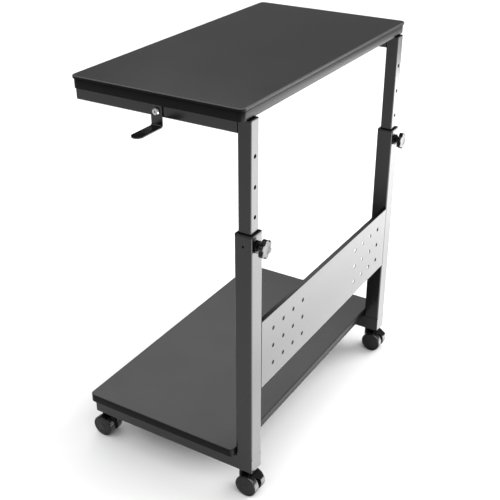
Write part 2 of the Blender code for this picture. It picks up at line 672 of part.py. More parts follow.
def brake_lever(name, parent):
    """Pedal that slopes down to its tip, with a pin barrel and a brake shoe."""
    half = LEVER_BARREL_HALF
    stations = [(0.0, 0.0, half - GAP), (LEVER_BEND * 0.55, LEVER_BEND_DROP * 0.3, half),
                (LEVER_BEND, LEVER_BEND_DROP, LEVER_BEND_HALF),
                (LEVER_REACH, LEVER_TIP_DROP, LEVER_TIP_HALF)]
    rings = []
    for along, drop, wide in stations:
        thick = LEVER_THICK / 2 * (1.0 - 0.35 * along / LEVER_REACH)
        rings.append([(along, -wide, -drop - thick), (along, wide, -drop - thick),
                      (along, wide, thick - drop), (along, -wide, thick - drop)])
    made = finish_object(name, loft(rings), black_plastic(), (PIVOT_X, 0, PIVOT_Z), "Z", parent)
    barrel = lathe([(LEVER_BARREL, -half), (LEVER_BARREL, half)], 16)
    pin = lathe([(LEVER_PIN, -half - LUG_WIDTH), (LEVER_PIN, half + LUG_WIDTH)], 12)
    shoe = loft([[(SHOE_NEAR, y, -shoe_drop(SHOE_NEAR)), (SHOE_FAR, y, -shoe_drop(SHOE_FAR)),
                  (SHOE_FAR, y, -LEVER_BEND_DROP), (SHOE_NEAR, y, -LEVER_BEND_DROP * 0.5)]
                 for y in (-SHOE_HALF, SHOE_HALF)])
    for part, bm, axis in (("barrel", barrel, "Y"), ("pin", pin, "Y"), ("shoe", shoe, "Z")):
        tool = cutter("%s_%s" % (name, part), [(bm, (PIVOT_X, 0, PIVOT_Z), axis)], parent)
        combine(made, tool, "UNION")


def caster(prefix, x, y, towards_legs, braked):
    """Twin-wheel caster; its empty stands on the swivel axis at floor level."""
    swivel = bpy.data.objects.new(prefix + "_swivel", None)
    bpy.context.scene.collection.objects.link(swivel)
    swivel.location = (x, y, 0)
    swivel.rotation_euler = (0, 0, 0 if towards_legs else math.pi)

    collar_top = CASTER_HEIGHT - GAP
    collar_bottom = collar_top - STEM_COLLAR
    pin_bottom = collar_bottom - PIN_LENGTH
    stem = lathe([(PIN_RADIUS - STEM_CHAMFER, pin_bottom), (PIN_RADIUS, pin_bottom + STEM_CHAMFER),
                  (PIN_RADIUS, collar_bottom), (STEM_COLLAR_RADIUS, collar_bottom),
                  (STEM_COLLAR_RADIUS, collar_top), (STEM_RADIUS, collar_top),
                  (STEM_RADIUS, CASTER_HEIGHT + STEM_LENGTH - STEM_CHAMFER),
                  (STEM_RADIUS - STEM_CHAMFER, CASTER_HEIGHT + STEM_LENGTH)], 16)
    finish_object(prefix + "_stem", stem, zinc_steel(), parent=swivel)

    hood(prefix + "_hood", braked, swivel)
    half = WHEEL_SPACE / 2 + WHEEL_WIDTH - WHEEL_SKIN - GAP
    axle = lathe([(AXLE_RADIUS, -half), (AXLE_RADIUS, half)], 16)
    finish_object(prefix + "_axle", axle, zinc_steel(), (CASTER_TRAIL, 0, AXLE_Z), "Y", swivel)
    outer = 1 if (y > 0) == towards_legs else -1
    wheel(prefix + "_outer_wheel", outer, swivel)
    wheel(prefix + "_inner_wheel", -outer, swivel)
    if braked:
        brake_lever(prefix + "_brake_lever", swivel)


# ----------------------------------------------------------- assembly
def side_frame(prefix, side):
    foot(prefix, side)
    outer_leg(prefix, side)
    bush(prefix, side)
    clamp_nut(prefix, side)
    inner_leg(prefix, side)
    arm(prefix, side)
    clamp_knob(prefix, side)
    panel_screws(prefix, side)
    hook(prefix, side)
    caster(prefix + "_open_caster", FOOT_LEFT + STEM_INSET, side * FRAME_Y, False, False)
    caster(prefix + "_leg_caster", LEG_FACE - STEM_INSET, side * FRAME_Y, True, True)


clear_scene()
table_top()
shelf()
side_frame("near", -1)
side_frame("far", 1)
modesty_panel()
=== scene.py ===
"""Rolling computer-tower stand with a height-adjustable side table: finished look.

Metres, +Z up, on the shared frame.  +X runs from the open side of the stand to
its legs; the near frame is at -Y and the far frame at +Y.
"""

import bmesh
import bpy
import numpy as np
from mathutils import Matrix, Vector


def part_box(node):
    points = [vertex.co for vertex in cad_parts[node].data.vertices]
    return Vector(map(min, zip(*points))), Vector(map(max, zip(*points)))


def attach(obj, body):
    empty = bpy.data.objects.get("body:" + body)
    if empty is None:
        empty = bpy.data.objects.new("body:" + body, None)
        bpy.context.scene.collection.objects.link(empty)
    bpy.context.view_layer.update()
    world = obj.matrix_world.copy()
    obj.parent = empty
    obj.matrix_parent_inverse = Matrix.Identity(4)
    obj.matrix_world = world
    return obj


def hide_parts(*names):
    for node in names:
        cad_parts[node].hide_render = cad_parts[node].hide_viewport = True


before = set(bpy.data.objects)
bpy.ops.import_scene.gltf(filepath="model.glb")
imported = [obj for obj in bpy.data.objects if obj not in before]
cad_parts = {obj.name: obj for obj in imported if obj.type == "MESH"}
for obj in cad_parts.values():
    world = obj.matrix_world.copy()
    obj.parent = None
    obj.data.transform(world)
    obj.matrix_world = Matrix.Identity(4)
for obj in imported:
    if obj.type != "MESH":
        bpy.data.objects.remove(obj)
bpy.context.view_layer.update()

# ------------------------------------------------------------------ feet
# Two 30 mm square steel tubes on the floor line, 1.5 mm wall, drawn through a
# die so their corners are round.  Cut to length, welded under the legs and
# powder coated black; a plastic cap closes the open end, a steel plate the other.
FOOT_HALF = 0.015
TUBE_WALL = 0.0015
TUBE_CORNER = 0.0022
CAP_EDGE = 0.0009
CAP_THICKNESS = 0.0022
COAT_BLACKS = ("#09090A", "#0E0E0F")
PLASTIC_BLACKS = ("#060607", "#0C0C0D")
MERGE_DISTANCE = 0.000002


def linear(colour):
    """sRGB hex to linear: c/12.92 up to 0.04045, ((c + 0.055)/1.055)^2.4 above it."""
    c = np.array([int(colour[i:i + 2], 16) for i in (1, 3, 5)]) / 255
    return (*np.where(c <= 0.04045, c / 12.92, ((c + 0.055) / 1.055) ** 2.4), 1.0)


def add(tree, kind, **settings):
    """Adds a node.  A setting named for an input is typed in, or linked if it is a socket."""
    node = tree.nodes.new(kind)
    for name, value in settings.items():
        wanted = name.replace("_", " ")
        socket = node.inputs.get(wanted)
        if socket is None:
            setattr(node, name, value)
        elif isinstance(value, bpy.types.NodeSocket):
            tree.links.new(value, socket)
        else:
            socket.default_value = value
    return node


def new_finish(name):
    """Empty material; gives its node tree, its output and the object-space coordinates."""
    finish = bpy.data.materials.new(name)
    finish.use_nodes = True
    tree = finish.node_tree
    tree.nodes.clear()
    out = add(tree, "ShaderNodeOutputMaterial")
    place = add(tree, "ShaderNodeTexCoord").outputs["Object"]
    return finish, tree, out, place


def two_tone(tree, out, shade, tints, gloss, relief=None, **shader):
    """Shader whose tint and roughness both follow one pattern, shade = 0 to 1, from the first
    of their two values to the second.  The relief, if any, tilts the light."""
    tint = add(tree, "ShaderNodeMix", data_type="RGBA", Factor=shade)
    tint.inputs[6].default_value, tint.inputs[7].default_value = map(linear, tints)
    rough = add(tree, "ShaderNodeMapRange", Value=shade, To_Min=gloss[0], To_Max=gloss[1])
    if relief:
        shader["Normal"] = relief.outputs["Normal"]
    skin = add(tree, "ShaderNodeBsdfPrincipled", Base_Color=tint.outputs[2],
               Roughness=rough.outputs["Result"], **shader)
    tree.links.new(skin.outputs["BSDF"], out.inputs["Surface"])


def powder_coat():
    """Polyester powder coat on steel, sprayed dry and baked: black, semi-gloss.

    The powder melts into a faint orange peel, about 2 mm from crest to crest, and
    lies a little unevenly over 40 mm, so reflections are clear but soft-edged."""
    finish, tree, out, place = new_finish("semi_gloss_powder_coat")
    peel = add(tree, "ShaderNodeTexNoise", Vector=place, Scale=1 / 0.0020, Detail=1.5)
    cloud = add(tree, "ShaderNodeTexNoise", Vector=place, Scale=1 / 0.040, Detail=3.0)
    relief = add(tree, "ShaderNodeBump", Height=peel.outputs["Fac"], Strength=0.10, Distance=0.0002)
    two_tone(tree, out, cloud.outputs["Fac"], COAT_BLACKS, (0.17, 0.25), relief,
             IOR=1.52, Specular_IOR_Level=0.38)
    return finish


def moulded_plastic(name, sheen):
    """Glass-filled nylon, injection moulded in a spark-eroded tool: black and dull.

    The tool leaves a fine even grain, 0.4 mm, drawn at 0.8 mm so that it shows, and hands
    rub it smoother in patches 12 mm across."""
    finish, tree, out, place = new_finish(name)
    grain = add(tree, "ShaderNodeTexNoise", Vector=place, Scale=1 / 0.0008, Detail=2.0)
    rub = add(tree, "ShaderNodeTexNoise", Vector=place, Scale=1 / 0.012, Detail=3.0)
    relief = add(tree, "ShaderNodeBump", Height=grain.outputs["Fac"], Strength=0.18, Distance=0.0001)
    two_tone(tree, out, rub.outputs["Fac"], PLASTIC_BLACKS, (0.24, 0.34), relief,
             IOR=1.50, Specular_IOR_Level=sheen)
    return finish


def eased(corners, ease, steps=4, loop=True):
    """Line with soft corners.  Each corner C becomes the curve (1-t)^2 A + 2t(1-t) C + t^2 B,
    where A and B lie `ease` before and after it; a point just outside each keeps the flats
    flat.  An open line keeps its two ends."""
    c = np.asarray(corners, float)
    before = np.roll(c, 1, 0) if loop else c[:-2]
    after = np.roll(c, -1, 0) if loop else c[2:]
    middle = c if loop else c[1:-1]
    reach = np.broadcast_to(np.asarray(ease, float), len(middle))[:, None]
    to_a = (before - middle) / np.linalg.norm(before - middle, axis=1, keepdims=True)
    to_b = (after - middle) / np.linalg.norm(after - middle, axis=1, keepdims=True)
    a, b, m = (middle + reach * to_a)[:, None], (middle + reach * to_b)[:, None], middle[:, None]
    t = np.linspace(0, 1, steps + 1)[None, :, None]
    curve = (1 - t) ** 2 * a + 2 * t * (1 - t) * m + t ** 2 * b
    outside = (middle + 1.4 * reach * to_a)[:, None], (middle + 1.4 * reach * to_b)[:, None]
    line = np.concatenate([outside[0], curve, outside[1]], 1).reshape(-1, c.shape[1])
    return line if loop else np.vstack([c[:1], line, c[-1:]])


def square(half, ease=TUBE_CORNER, parts=1, steps=4):
    """Square line with soft corners, anticlockwise from (+, -); flat number i follows corner
    i and is cut into `parts` equal lengths."""
    corners = half * np.array([(1, -1), (1, 1), (-1, 1), (-1, -1)])
    line = eased(corners, ease, steps).reshape(4, -1, 2)
    flat = np.linspace(line[:, -1], np.roll(line[:, 0], -1, 0), parts + 1, axis=1)[:, 1:-1]
    return np.concatenate([line, flat], 1).reshape(-1, 2)


def stacked(line, rows):
    """Closed line carried up through (inset, height) rows: each point moves in along its
    normal by the inset.  The first and last rows shrink to the line's middle."""
    run = np.roll(line, -1, 0) - np.roll(line, 1, 0)
    normal = np.stack([run[:, 1], -run[:, 0]], -1) / np.linalg.norm(run, axis=1, keepdims=True)
    rows = np.asarray(rows, float)
    flat = line[None] - rows[:, :1, None] * normal[None]
    grid = np.concatenate([flat, np.broadcast_to(rows[:, 1, None, None], (*flat.shape[:2], 1))], -1)
    ends = np.empty((2, len(line), 3))
    ends[:, :, :2] = (line.min(0) + line.max(0)) / 2
    ends[:, :, 2] = rows[[0, -1], 1][:, None]
    return np.concatenate([ends[:1], grid, ends[1:]])


def set_down(points, at, x=(1, 0, 0), y=(0, 1, 0), z=(0, 0, 1)):
    """Places local points (a, b, c) at `at` + a x + b y + c z."""
    return np.asarray(at, float) + points @ np.array([x, y, z], float)


def span(node):
    """Low corner, high corner and middle of a node's box in the frame."""
    low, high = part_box(node)
    return low, high, (low + high) / 2


def quarter_round(radius, steps=4):
    """Quarter round as pairs (inset, depth) = r (1 - cos a), r (1 - sin a), a from 0 to 90."""
    turn = np.linspace(0, np.pi / 2, steps + 1)
    return list(zip(radius * (1 - np.cos(turn)), radius * (1 - np.sin(turn))))


def closed(*grids):
    """Skins of grids that each go right round, with every face kept."""
    return [(grid, True, None) for grid in grids]


def moved(skins, at, **axes):
    """The same skins, set down at another place."""
    return [(set_down(grid, at, **axes), *rest) for grid, *rest in skins]


def make_piece(name, skins, finish, body, slot, *nodes, sharp=32):
    """One mesh from grids of points: neighbours in a grid are joined by four-sided faces.

    A skin is (grid, goes round, faces kept).  Shared edges are merged, faces turned
    outwards, and edges sharper than `sharp` degrees kept crisp."""
    points, faces, count = [], [], 0
    for grid, around, kept in skins:
        rows, columns = grid.shape[:2]
        index = np.arange(rows * columns).reshape(rows, columns) + count
        index = np.hstack([index, index[:, :1]]) if around else index
        quads = np.stack([index[:-1, :-1], index[:-1, 1:], index[1:, 1:], index[1:, :-1]], -1)
        faces.append(quads.reshape(-1, 4) if kept is None else quads[kept])
        points.append(grid.reshape(-1, 3))
        count += rows * columns
    mesh = bpy.data.meshes.new(name)
    mesh.from_pydata(np.vstack(points).tolist(), [], np.vstack(faces).tolist())
    bm = bmesh.new()
    bm.from_mesh(mesh)
    bmesh.ops.remove_doubles(bm, verts=bm.verts, dist=MERGE_DISTANCE)
    bmesh.ops.recalc_face_normals(bm, faces=bm.faces)
    bm.to_mesh(mesh)
    bm.free()
    mesh.shade_smooth()
    mesh.set_sharp_from_angle(angle=np.radians(sharp))
    mesh.materials.append(finish)
    piece = bpy.data.objects.new(name, mesh)
    bpy.context.scene.collection.objects.link(piece)
    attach(piece, body)
    if nodes:
        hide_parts(*nodes)
    return piece


def straight_tube(half, start, end, parts=1, levels=None):
    """Outer and inner wall of a square tube: the square line repeated at each level.  Gives
    the two grids and the rims that join them."""
    levels = np.array([start, end] if levels is None else levels)
    walls = []
    for h, ease in ((half, TUBE_CORNER), (half - TUBE_WALL, TUBE_CORNER - 0.6 * TUBE_WALL)):
        line = square(h, ease, parts)
        wall = np.empty((len(levels), len(line), 3))
        wall[..., :2] = line
        wall[..., 2] = levels[:, None]
        walls.append(wall)
    rims = closed(*(np.stack([walls[0][i], walls[1][i]]) for i in (0, -1)))
    return walls[0], walls[1], rims


def end_cap(half):
    """Cap over a tube's end, from height 0 up: straight sides and a quarter-round edge."""
    rows = [(0, 0.0002)] + [(inset, CAP_THICKNESS - depth) for inset, depth in quarter_round(CAP_EDGE)]
    return stacked(square(half), rows + [(1.5 * CAP_EDGE, CAP_THICKNESS)])


ALONG_X = dict(x=(0, 1, 0), y=(0, 0, 1), z=(1, 0, 0))
BACK_X = dict(x=(0, -1, 0), y=(0, 0, 1), z=(-1, 0, 0))
coat = powder_coat()
plastic = moulded_plastic("moulded_nylon", 0.30)
for side in ("near", "far"):
    low, high, middle = span(side + "_foot_tube")
    outer, inner, rims = straight_tube(FOOT_HALF, low.x, high.x)
    skins = moved(closed(outer, inner) + rims, (0, middle.y, middle.z), **ALONG_X)
    make_piece(side + "_foot", skins, coat, "base", "black_powder_coat", side + "_foot_tube")

    low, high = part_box(side + "_foot_cap")
    cap = set_down(end_cap(FOOT_HALF), (low.x + CAP_THICKNESS, middle.y, middle.z), **BACK_X)
    make_piece(side + "_foot_end_cap", closed(cap), plastic, "base", "black_plastic",
               side + "_foot_cap")
    low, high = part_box(side + "_foot_end_plate")
    cap = set_down(end_cap(FOOT_HALF), (high.x - CAP_THICKNESS, middle.y, middle.z), **ALONG_X)
    make_piece(side + "_foot_plate", closed(cap), coat, "base", "black_powder_coat",
               side + "_foot_end_plate")

# ------------------------------------------------------------ lower legs
# The same 30 mm tube, standing on the foot and welded to it, then ground flush
# where the faces meet.  The outward face has one drilled hole near the top, and
# the face towards the user is bored for the clamp's threaded insert.
PARTS = 6
SIDE_HOLE = 0.0021
SIDE_HOLE_DROP = 0.0155
INSERT_HOLE = 0.0051
CLAMP_DROP = 0.018
DRILL_BLOCK = (0.028, 0.0045)
WELD_REACH = 0.0026
WELD_HALF = 0.0125


def pierced(front, back, openings, around):
    """Sheet with round holes.  Each block of PARTS x PARTS faces gives way to a funnel whose
    rows are the block's outline, the circle c + r (u cos a + v sin a) beside it, then the
    same two on the back."""
    shape = front.shape[0] - 1, front.shape[1] - (0 if around else 1)
    kept = np.ones(shape, bool)
    funnels = []
    k = PARTS
    step = np.arange(k)
    rows = np.concatenate([0 * step, step, k + 0 * step, k - step])
    columns = np.concatenate([step, k + 0 * step, k - step, 0 * step])
    angle = np.radians(-135 + 360 * np.arange(4 * k) / (4 * k))[:, None]
    for row, column, centre, radius in openings:
        block = (row + np.arange(k))[:, None], (column + np.arange(k))[None] % shape[1]
        kept[block] = False
        where = row + rows, (column + columns) % front.shape[1]
        edge = front[where], back[where]
        u = edge[0][k] - edge[0][0]
        v = edge[0][2 * k] - edge[0][k]
        normal = np.cross(u, v)
        through = np.dot(edge[1].mean(0) - edge[0].mean(0), normal) / np.dot(normal, normal) * normal
        u, v = u / np.linalg.norm(u), v / np.linalg.norm(v)
        ring = centre + radius * (np.cos(angle) * u + np.sin(angle) * v)
        funnels.append(np.stack([edge[0], ring, ring + through, edge[1]]))
    return [(front, around, kept), (back, around, kept)] + closed(*funnels)


def flat_start(number):
    """First column of flat `number` in a square line cut into PARTS."""
    return number * (PARTS + 6) + 6


for side, outward in (("near", -1), ("far", 1)):
    low, high, middle = span(side + "_outer_leg")
    top = high.z
    drilled = np.linspace(top - DRILL_BLOCK[0], top - DRILL_BLOCK[1], PARTS + 1)
    levels = np.concatenate([[low.z], drilled, [top]])
    outer, inner, rims = straight_tube(FOOT_HALF, low.z, top, PARTS, levels)
    holes = [(1, flat_start(0), np.array([FOOT_HALF, 0, top - CLAMP_DROP]), INSERT_HOLE),
             (1, flat_start(1 if outward > 0 else 3),
              np.array([0, outward * FOOT_HALF, top - SIDE_HOLE_DROP]), SIDE_HOLE)]
    skins = moved(pierced(outer, inner, holes, True) + rims, (middle.x, middle.y, 0))

    # ground weld: two flat beads that fill the round corner between leg and foot
    for along, out in (((1, 0, 0), (0, outward, 0)), ((0, 1, 0), (1, 0, 0))):
        bead = np.array([(-WELD_HALF, -WELD_REACH), (WELD_HALF, -WELD_REACH),
                         (WELD_HALF, 0.0008), (-WELD_HALF, 0.0008)])
        bead = stacked(eased(bead, 0.0006, 2), [(0, FOOT_HALF - 0.003), (0, FOOT_HALF - 0.0002),
                                                (0.0003, FOOT_HALF + 0.00005)])
        skins += closed(set_down(bead, (middle.x, middle.y, low.z), x=along, y=(0, 0, 1), z=out))
    make_piece(side + "_lower_leg", skins, coat, "base", "black_powder_coat", side + "_outer_leg")

# ---------------------------------------------------------- leg bushes
# A black plastic bush pressed into the mouth of each lower leg.  Its square
# collar sits on the tube's end and its bore guides the sliding upper leg.
BUSH_FLANGE = 0.0035
BUSH_DEPTH = 0.028
BUSH_EDGE = 0.0013
BORE_EDGE = 0.0006
LEG_HALF = 0.011
RUNNING_GAP = 0.0003

for side in ("near", "far"):
    low, high, middle = span(side + "_leg_bush")
    top = high.z - BUSH_FLANGE
    plug, bore = FOOT_HALF - TUBE_WALL - RUNNING_GAP, LEG_HALF + RUNNING_GAP
    sizes = [(plug, -BUSH_DEPTH), (plug, 0.0002), (FOOT_HALF, 0.0002)]
    sizes += [(FOOT_HALF - inset, BUSH_FLANGE - depth) for inset, depth in quarter_round(BUSH_EDGE)]
    sizes += [(bore + depth, BUSH_FLANGE - inset) for inset, depth in quarter_round(BORE_EDGE)]
    sizes += [(bore, -BUSH_DEPTH), (plug, -BUSH_DEPTH)]
    rows = [np.concatenate([square(half), np.full((len(square(half)), 1), top + z)], 1) for half, z in sizes]
    collar = set_down(np.stack(rows), (middle.x, middle.y, 0))
    make_piece(side + "_bush", closed(collar), plastic, "base", "black_plastic", side + "_leg_bush")

# ---------------------------------------------------------- upper legs
# 22 mm square tubes that slide in the lower legs and carry the table.  The face
# towards the user is drilled every 46.8 mm for the clamp screws; a plastic plug
# closes the top and a plastic shoe on the lower end keeps the tube central.
HOLE_PITCH = 0.0468
HOLE_RADIUS = 0.0033
HOLES = range(-2, 4)

for side in ("near", "far"):
    low, high, middle = span(side + "_inner_leg")
    clamp_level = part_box(side + "_outer_leg")[1].z - CLAMP_DROP
    centres = [clamp_level + i * HOLE_PITCH for i in HOLES]
    reach = LEG_HALF - 1.4 * TUBE_CORNER
    drilled = [np.linspace(c - reach, c + reach, PARTS + 1) for c in centres]
    levels = np.concatenate([[low.z], *drilled, [high.z]])
    outer, inner, rims = straight_tube(LEG_HALF, low.z, high.z, PARTS, levels)
    holes = [(1 + i * (PARTS + 1), flat_start(0), np.array([LEG_HALF, 0, c]), HOLE_RADIUS)
             for i, c in enumerate(centres)]
    skins = moved(pierced(outer, inner, holes, True) + rims, (middle.x, middle.y, 0))
    make_piece(side + "_upper_leg", skins, coat, "table_carriage", "black_powder_coat", side + "_inner_leg")
    plug = set_down(end_cap(LEG_HALF), (middle.x, middle.y, high.z))
    make_piece(side + "_leg_plug", closed(plug), plastic, "table_carriage", "black_plastic",
               side + "_leg_top_plug")

# ---------------------------------------------------------------- arms
# Two lengths of the 22 mm tube, welded to the upper legs, run under the table
# to its open side, where a plastic cap closes each.
for side in ("near", "far"):
    low, high, middle = span(side + "_arm")
    outer, inner, rims = straight_tube(LEG_HALF, low.x, high.x)
    skins = moved(closed(outer, inner) + rims, (0, middle.y, middle.z), **ALONG_X)
    make_piece(side + "_table_arm", skins, coat, "table_carriage", "black_powder_coat", side + "_arm")
    cap = set_down(end_cap(LEG_HALF), (low.x, middle.y, middle.z), **BACK_X)
    make_piece(side + "_table_arm_cap", closed(cap), plastic, "table_carriage", "black_plastic",
               side + "_arm_cap")

# --------------------------------------------------------- modesty panel
# 1.2 mm steel sheet between the lower legs, punched with a square field of
# holes at each end, its long edges folded back and a tab bent at each end that
# is screwed to the leg.  Punched flat, folded, then powder coated.
SHEET = 0.0012
FOLD_WIDTH = 0.0075
FOLD_RADIUS = 0.0018
PUNCH_PITCH = 0.033
PUNCH_RADIUS = 0.0038
PUNCH_END = 0.0365
PUNCH_CELL = 0.012
TAB_WIDTH = 0.016
TAB_INSET = 0.011
TAB_START = 0.006
TAB_BEND = 0.0015

low, high, middle = span("modesty_panel")
end = high.y
front_x = high.x
punch_y = [end + RUNNING_GAP - PUNCH_END - i * PUNCH_PITCH for i in range(4)]
punch_y = sorted([-y for y in punch_y] + punch_y)
punch_z = [middle.z + i * PUNCH_PITCH for i in (1, 0, -1)]
columns = [np.linspace(y - PUNCH_CELL, y + PUNCH_CELL, PARTS + 1) for y in punch_y]
across = np.concatenate([[-end], *columns, [end]])


def fold(shift):
    """Section of the sheet at `shift` behind its face, from fold to fold, as (x, z): flange,
    soft corner, the punched flat's rows, soft corner, flange.  Gives the flat's first row too."""
    corners = np.array([(front_x - FOLD_WIDTH, high.z - shift), (front_x - shift, high.z - shift),
                        (front_x - shift, low.z + shift), (front_x - FOLD_WIDTH, low.z + shift)])
    line = eased(corners, FOLD_RADIUS - 0.6 * shift, 4, loop=False)
    half = len(line) // 2
    down = np.concatenate([np.linspace(z + PUNCH_CELL, z - PUNCH_CELL, PARTS + 1) for z in punch_z])
    flat = np.stack([np.full(len(down), front_x - shift), down], -1)
    return np.vstack([line[:half], flat, line[half:]]), half


faces = []
for shift in (0, SHEET):
    section, first_row = fold(shift)
    face = np.empty((len(section), len(across), 3))
    face[..., 0] = section[:, None, 0]
    face[..., 1] = across[None]
    face[..., 2] = section[:, None, 1]
    faces.append(face)
holes = [(first_row + j * (PARTS + 1), 1 + i * (PARTS + 1), np.array([front_x, y, z]), PUNCH_RADIUS)
         for i, y in enumerate(punch_y) for j, z in enumerate(punch_z)]
skins = pierced(faces[0], faces[1], holes, False)
skins += [(np.stack([faces[0][i], faces[1][i]]), False, None) for i in (0, -1)]
skins += [(np.stack([faces[0][:, i], faces[1][:, i]]), False, None) for i in (0, -1)]

# end tabs: a strip that leaves the back of the sheet and turns along the leg
for outward in (-1, 1):
    corners = np.array([(end - TAB_START, front_x - 0.55 * SHEET), (end - SHEET / 2, front_x - 0.55 * SHEET),
                        (end - SHEET / 2, front_x - TAB_WIDTH)])
    line = eased(corners, TAB_BEND, 4, loop=False)
    run = np.gradient(line, axis=0)
    normal = np.stack([-run[:, 1], run[:, 0]], -1) / np.linalg.norm(run, axis=1, keepdims=True)
    section = np.vstack([line + normal * 0.4 * SHEET, (line - normal * 0.4 * SHEET)[::-1]])
    tab = stacked(section, [(0, low.z + TAB_INSET), (0, high.z - TAB_INSET)])
    skins += closed(set_down(tab, (0, 0, 0), x=(0, outward, 0), y=(1, 0, 0)))
make_piece("perforated_panel", skins, coat, "base", "black_powder_coat", "modesty_panel")

# ------------------------------------------------------------- fasteners
# Bright zinc-plated steel: pan-head screws that hold the panel tabs and the
# hooks, and the flanged inserts and studs of the clamps.
THREAD_PITCH = 0.001
THREAD_CREST = 0.00300
THREAD_ROOT = 0.00262


def zinc_plate():
    """Bright zinc on turned steel: a cool grey mirror, clouded by passivation over 5 mm."""
    finish, tree, out, place = new_finish("bright_zinc_plate")
    cloud = add(tree, "ShaderNodeTexNoise", Vector=place, Scale=1 / 0.005, Detail=4.0)
    two_tone(tree, out, cloud.outputs["Fac"], ("#C4C7CB", "#B4B3AE"), (0.20, 0.36), Metallic=1.0)
    return finish


def turned(profile, steps=32):
    """Surface of revolution: each (radius, height) point becomes (r cos a, r sin a, h)."""
    profile = np.asarray(profile, float)
    angle = 2 * np.pi * np.arange(steps) / steps
    grid = np.empty((len(profile), steps, 3))
    grid[..., 0] = profile[:, :1] * np.cos(angle)
    grid[..., 1] = profile[:, :1] * np.sin(angle)
    grid[..., 2] = profile[:, 1:]
    return grid


def drive(angle, kind):
    """Outline of the driver's recess, as a share of its radius: a hexagon's flats follow
    cos 30 / cos(a within a sixth of a turn); a cross follows 0.3 + 0.7 |cos 2a|^3."""
    if kind == "hex":
        return 0.866 / np.cos((angle + np.pi / 6) % (np.pi / 3) - np.pi / 6)
    return 0.30 + 0.70 * np.abs(np.cos(2 * angle)) ** 3


def screw(shank, head, height, length, kind, steps=36):
    """Pan-head screw, head upwards from 0: dome over a straight rim, recess r = R f(a)."""
    rim = height * 0.42
    dome = np.linspace(0, 1, 6)
    recess = head * 0.46
    profile = [(0, -length), (shank - 0.0003, -length), (shank, 0.0003 - length), (shank, 0),
               (head - 0.0002, 0), (head, 0.0002), (head, rim)]
    profile += [(head - (head - recess * 1.12) * t ** 1.6, height - (height - rim) * (1 - t) ** 2)
                for t in dome[1:]]
    grid = turned(profile, steps)
    angle = 2 * np.pi * np.arange(steps) / steps
    flat = np.stack([np.cos(angle), np.sin(angle)], -1) * (recess * drive(angle, kind))[:, None]
    walls = [(1.0, height - 0.00005), (0.97, height * 0.10), (0.0, height * 0.02)]
    rows = [np.concatenate([flat * share, np.full((steps, 1), z)], 1) for share, z in walls]
    return np.concatenate([grid, np.stack(rows)])


zinc = zinc_plate()
for side, outward in (("near", -1), ("far", 1)):
    for level in ("lower", "upper"):
        node = "%s_%s_panel_screw" % (side, level)
        low, high, middle = span(node)
        length, height = 0.0032, 0.0022
        seat = high.y - length if outward > 0 else low.y + length
        at = (middle.x, seat, middle.z)
        grid = set_down(screw(0.0020, 0.0038, height, length, "cross"), at,
                        x=(1, 0, 0), y=(0, 0, outward), z=(0, -outward, 0))
        make_piece(node + "_zinc", closed(grid), zinc, "base", "zinc_steel", node)
    low, high, middle = span(side + "_clamp_nut")
    bore, barrel, flange, proud = 0.0033, 0.0048, 0.0065, 0.0008
    profile = [(bore, low.x), (barrel, low.x), (barrel, high.x - proud), (flange, high.x - proud),
               (flange, high.x - 0.0002), (flange - 0.0002, high.x), (bore + 0.0002, high.x),
               (bore, high.x - 0.0002), (bore, low.x)]
    insert = set_down(turned(profile), (0, middle.y, middle.z), **ALONG_X)
    make_piece(side + "_insert", closed(insert), zinc, "base", "zinc_steel", side + "_clamp_nut")
    low, high, middle = span(side + "_clamp_stud")
    turns = np.arange(low.x + 0.0015, high.x - 0.0005, THREAD_PITCH / 2)
    thread = np.stack([np.where(np.arange(len(turns)) % 2, THREAD_CREST, THREAD_ROOT), turns], -1)
    profile = np.vstack([[(0, low.x), (0.0022, low.x), (0.0024, low.x + 0.0008)], thread,
                         [(0.0026, high.x), (0, high.x)]])
    stud = set_down(turned(profile, 24), (0, middle.y, middle.z), **ALONG_X)
    make_piece(side + "_threaded_stud", closed(stud), zinc, side + "_stud", "zinc_steel",
               side + "_clamp_stud", sharp=60)

# Long pan-head screws go up through the arms into the table board and through
# the feet into the shelf; only their heads show, from below.
BOARD_SCREWS = (-0.100, 0.085)

for side in ("near", "far"):
    for tube, body, label in (("_arm", "table_carriage", "table"), ("_foot_tube", "base", "shelf")):
        low, high, middle = span(side + tube)
        for number, x in enumerate(BOARD_SCREWS):
            grid = set_down(screw(0.0022, 0.0046, 0.0024, 0.0010, "cross"), (x, middle.y, low.z),
                            x=(1, 0, 0), y=(0, -1, 0), z=(0, 0, -1))
            make_piece("%s_%s_screw_%d" % (side, label, number), closed(grid), zinc, body, "zinc_steel")

# ----------------------------------------------------------- clamp knobs
# Moulded knobs with six rounded lobes on a flared neck, over the stud's head.
# Turned by hand, they press the upper leg against the back of the lower one.
KNOB_LOBES = 6
KNOB_RADIUS = 0.0154
KNOB_LOBE = 0.0036
KNOB_HEAD = 0.0075
KNOB_NECK = 0.0054
KNOB_FLARE = 0.0100
KNOB_BORE = 0.0033
KNOB_EDGE = 0.0013


def lobed(rows, steps=96):
    """Rows of (radius, height, hollow): point = (r cos a, r sin a, h) with
    r = radius - hollow (1/2 - 1/2 cos 6a)^1.6, so six lobes stand out."""
    rows = np.asarray(rows, float)
    angle = 2 * np.pi * np.arange(steps) / steps
    reach = rows[:, :1] - rows[:, 2:] * (0.5 - 0.5 * np.cos(KNOB_LOBES * angle)) ** 1.6
    height = np.broadcast_to(rows[:, 1:2], reach.shape)
    return np.stack([reach * np.cos(angle), reach * np.sin(angle), height], -1)


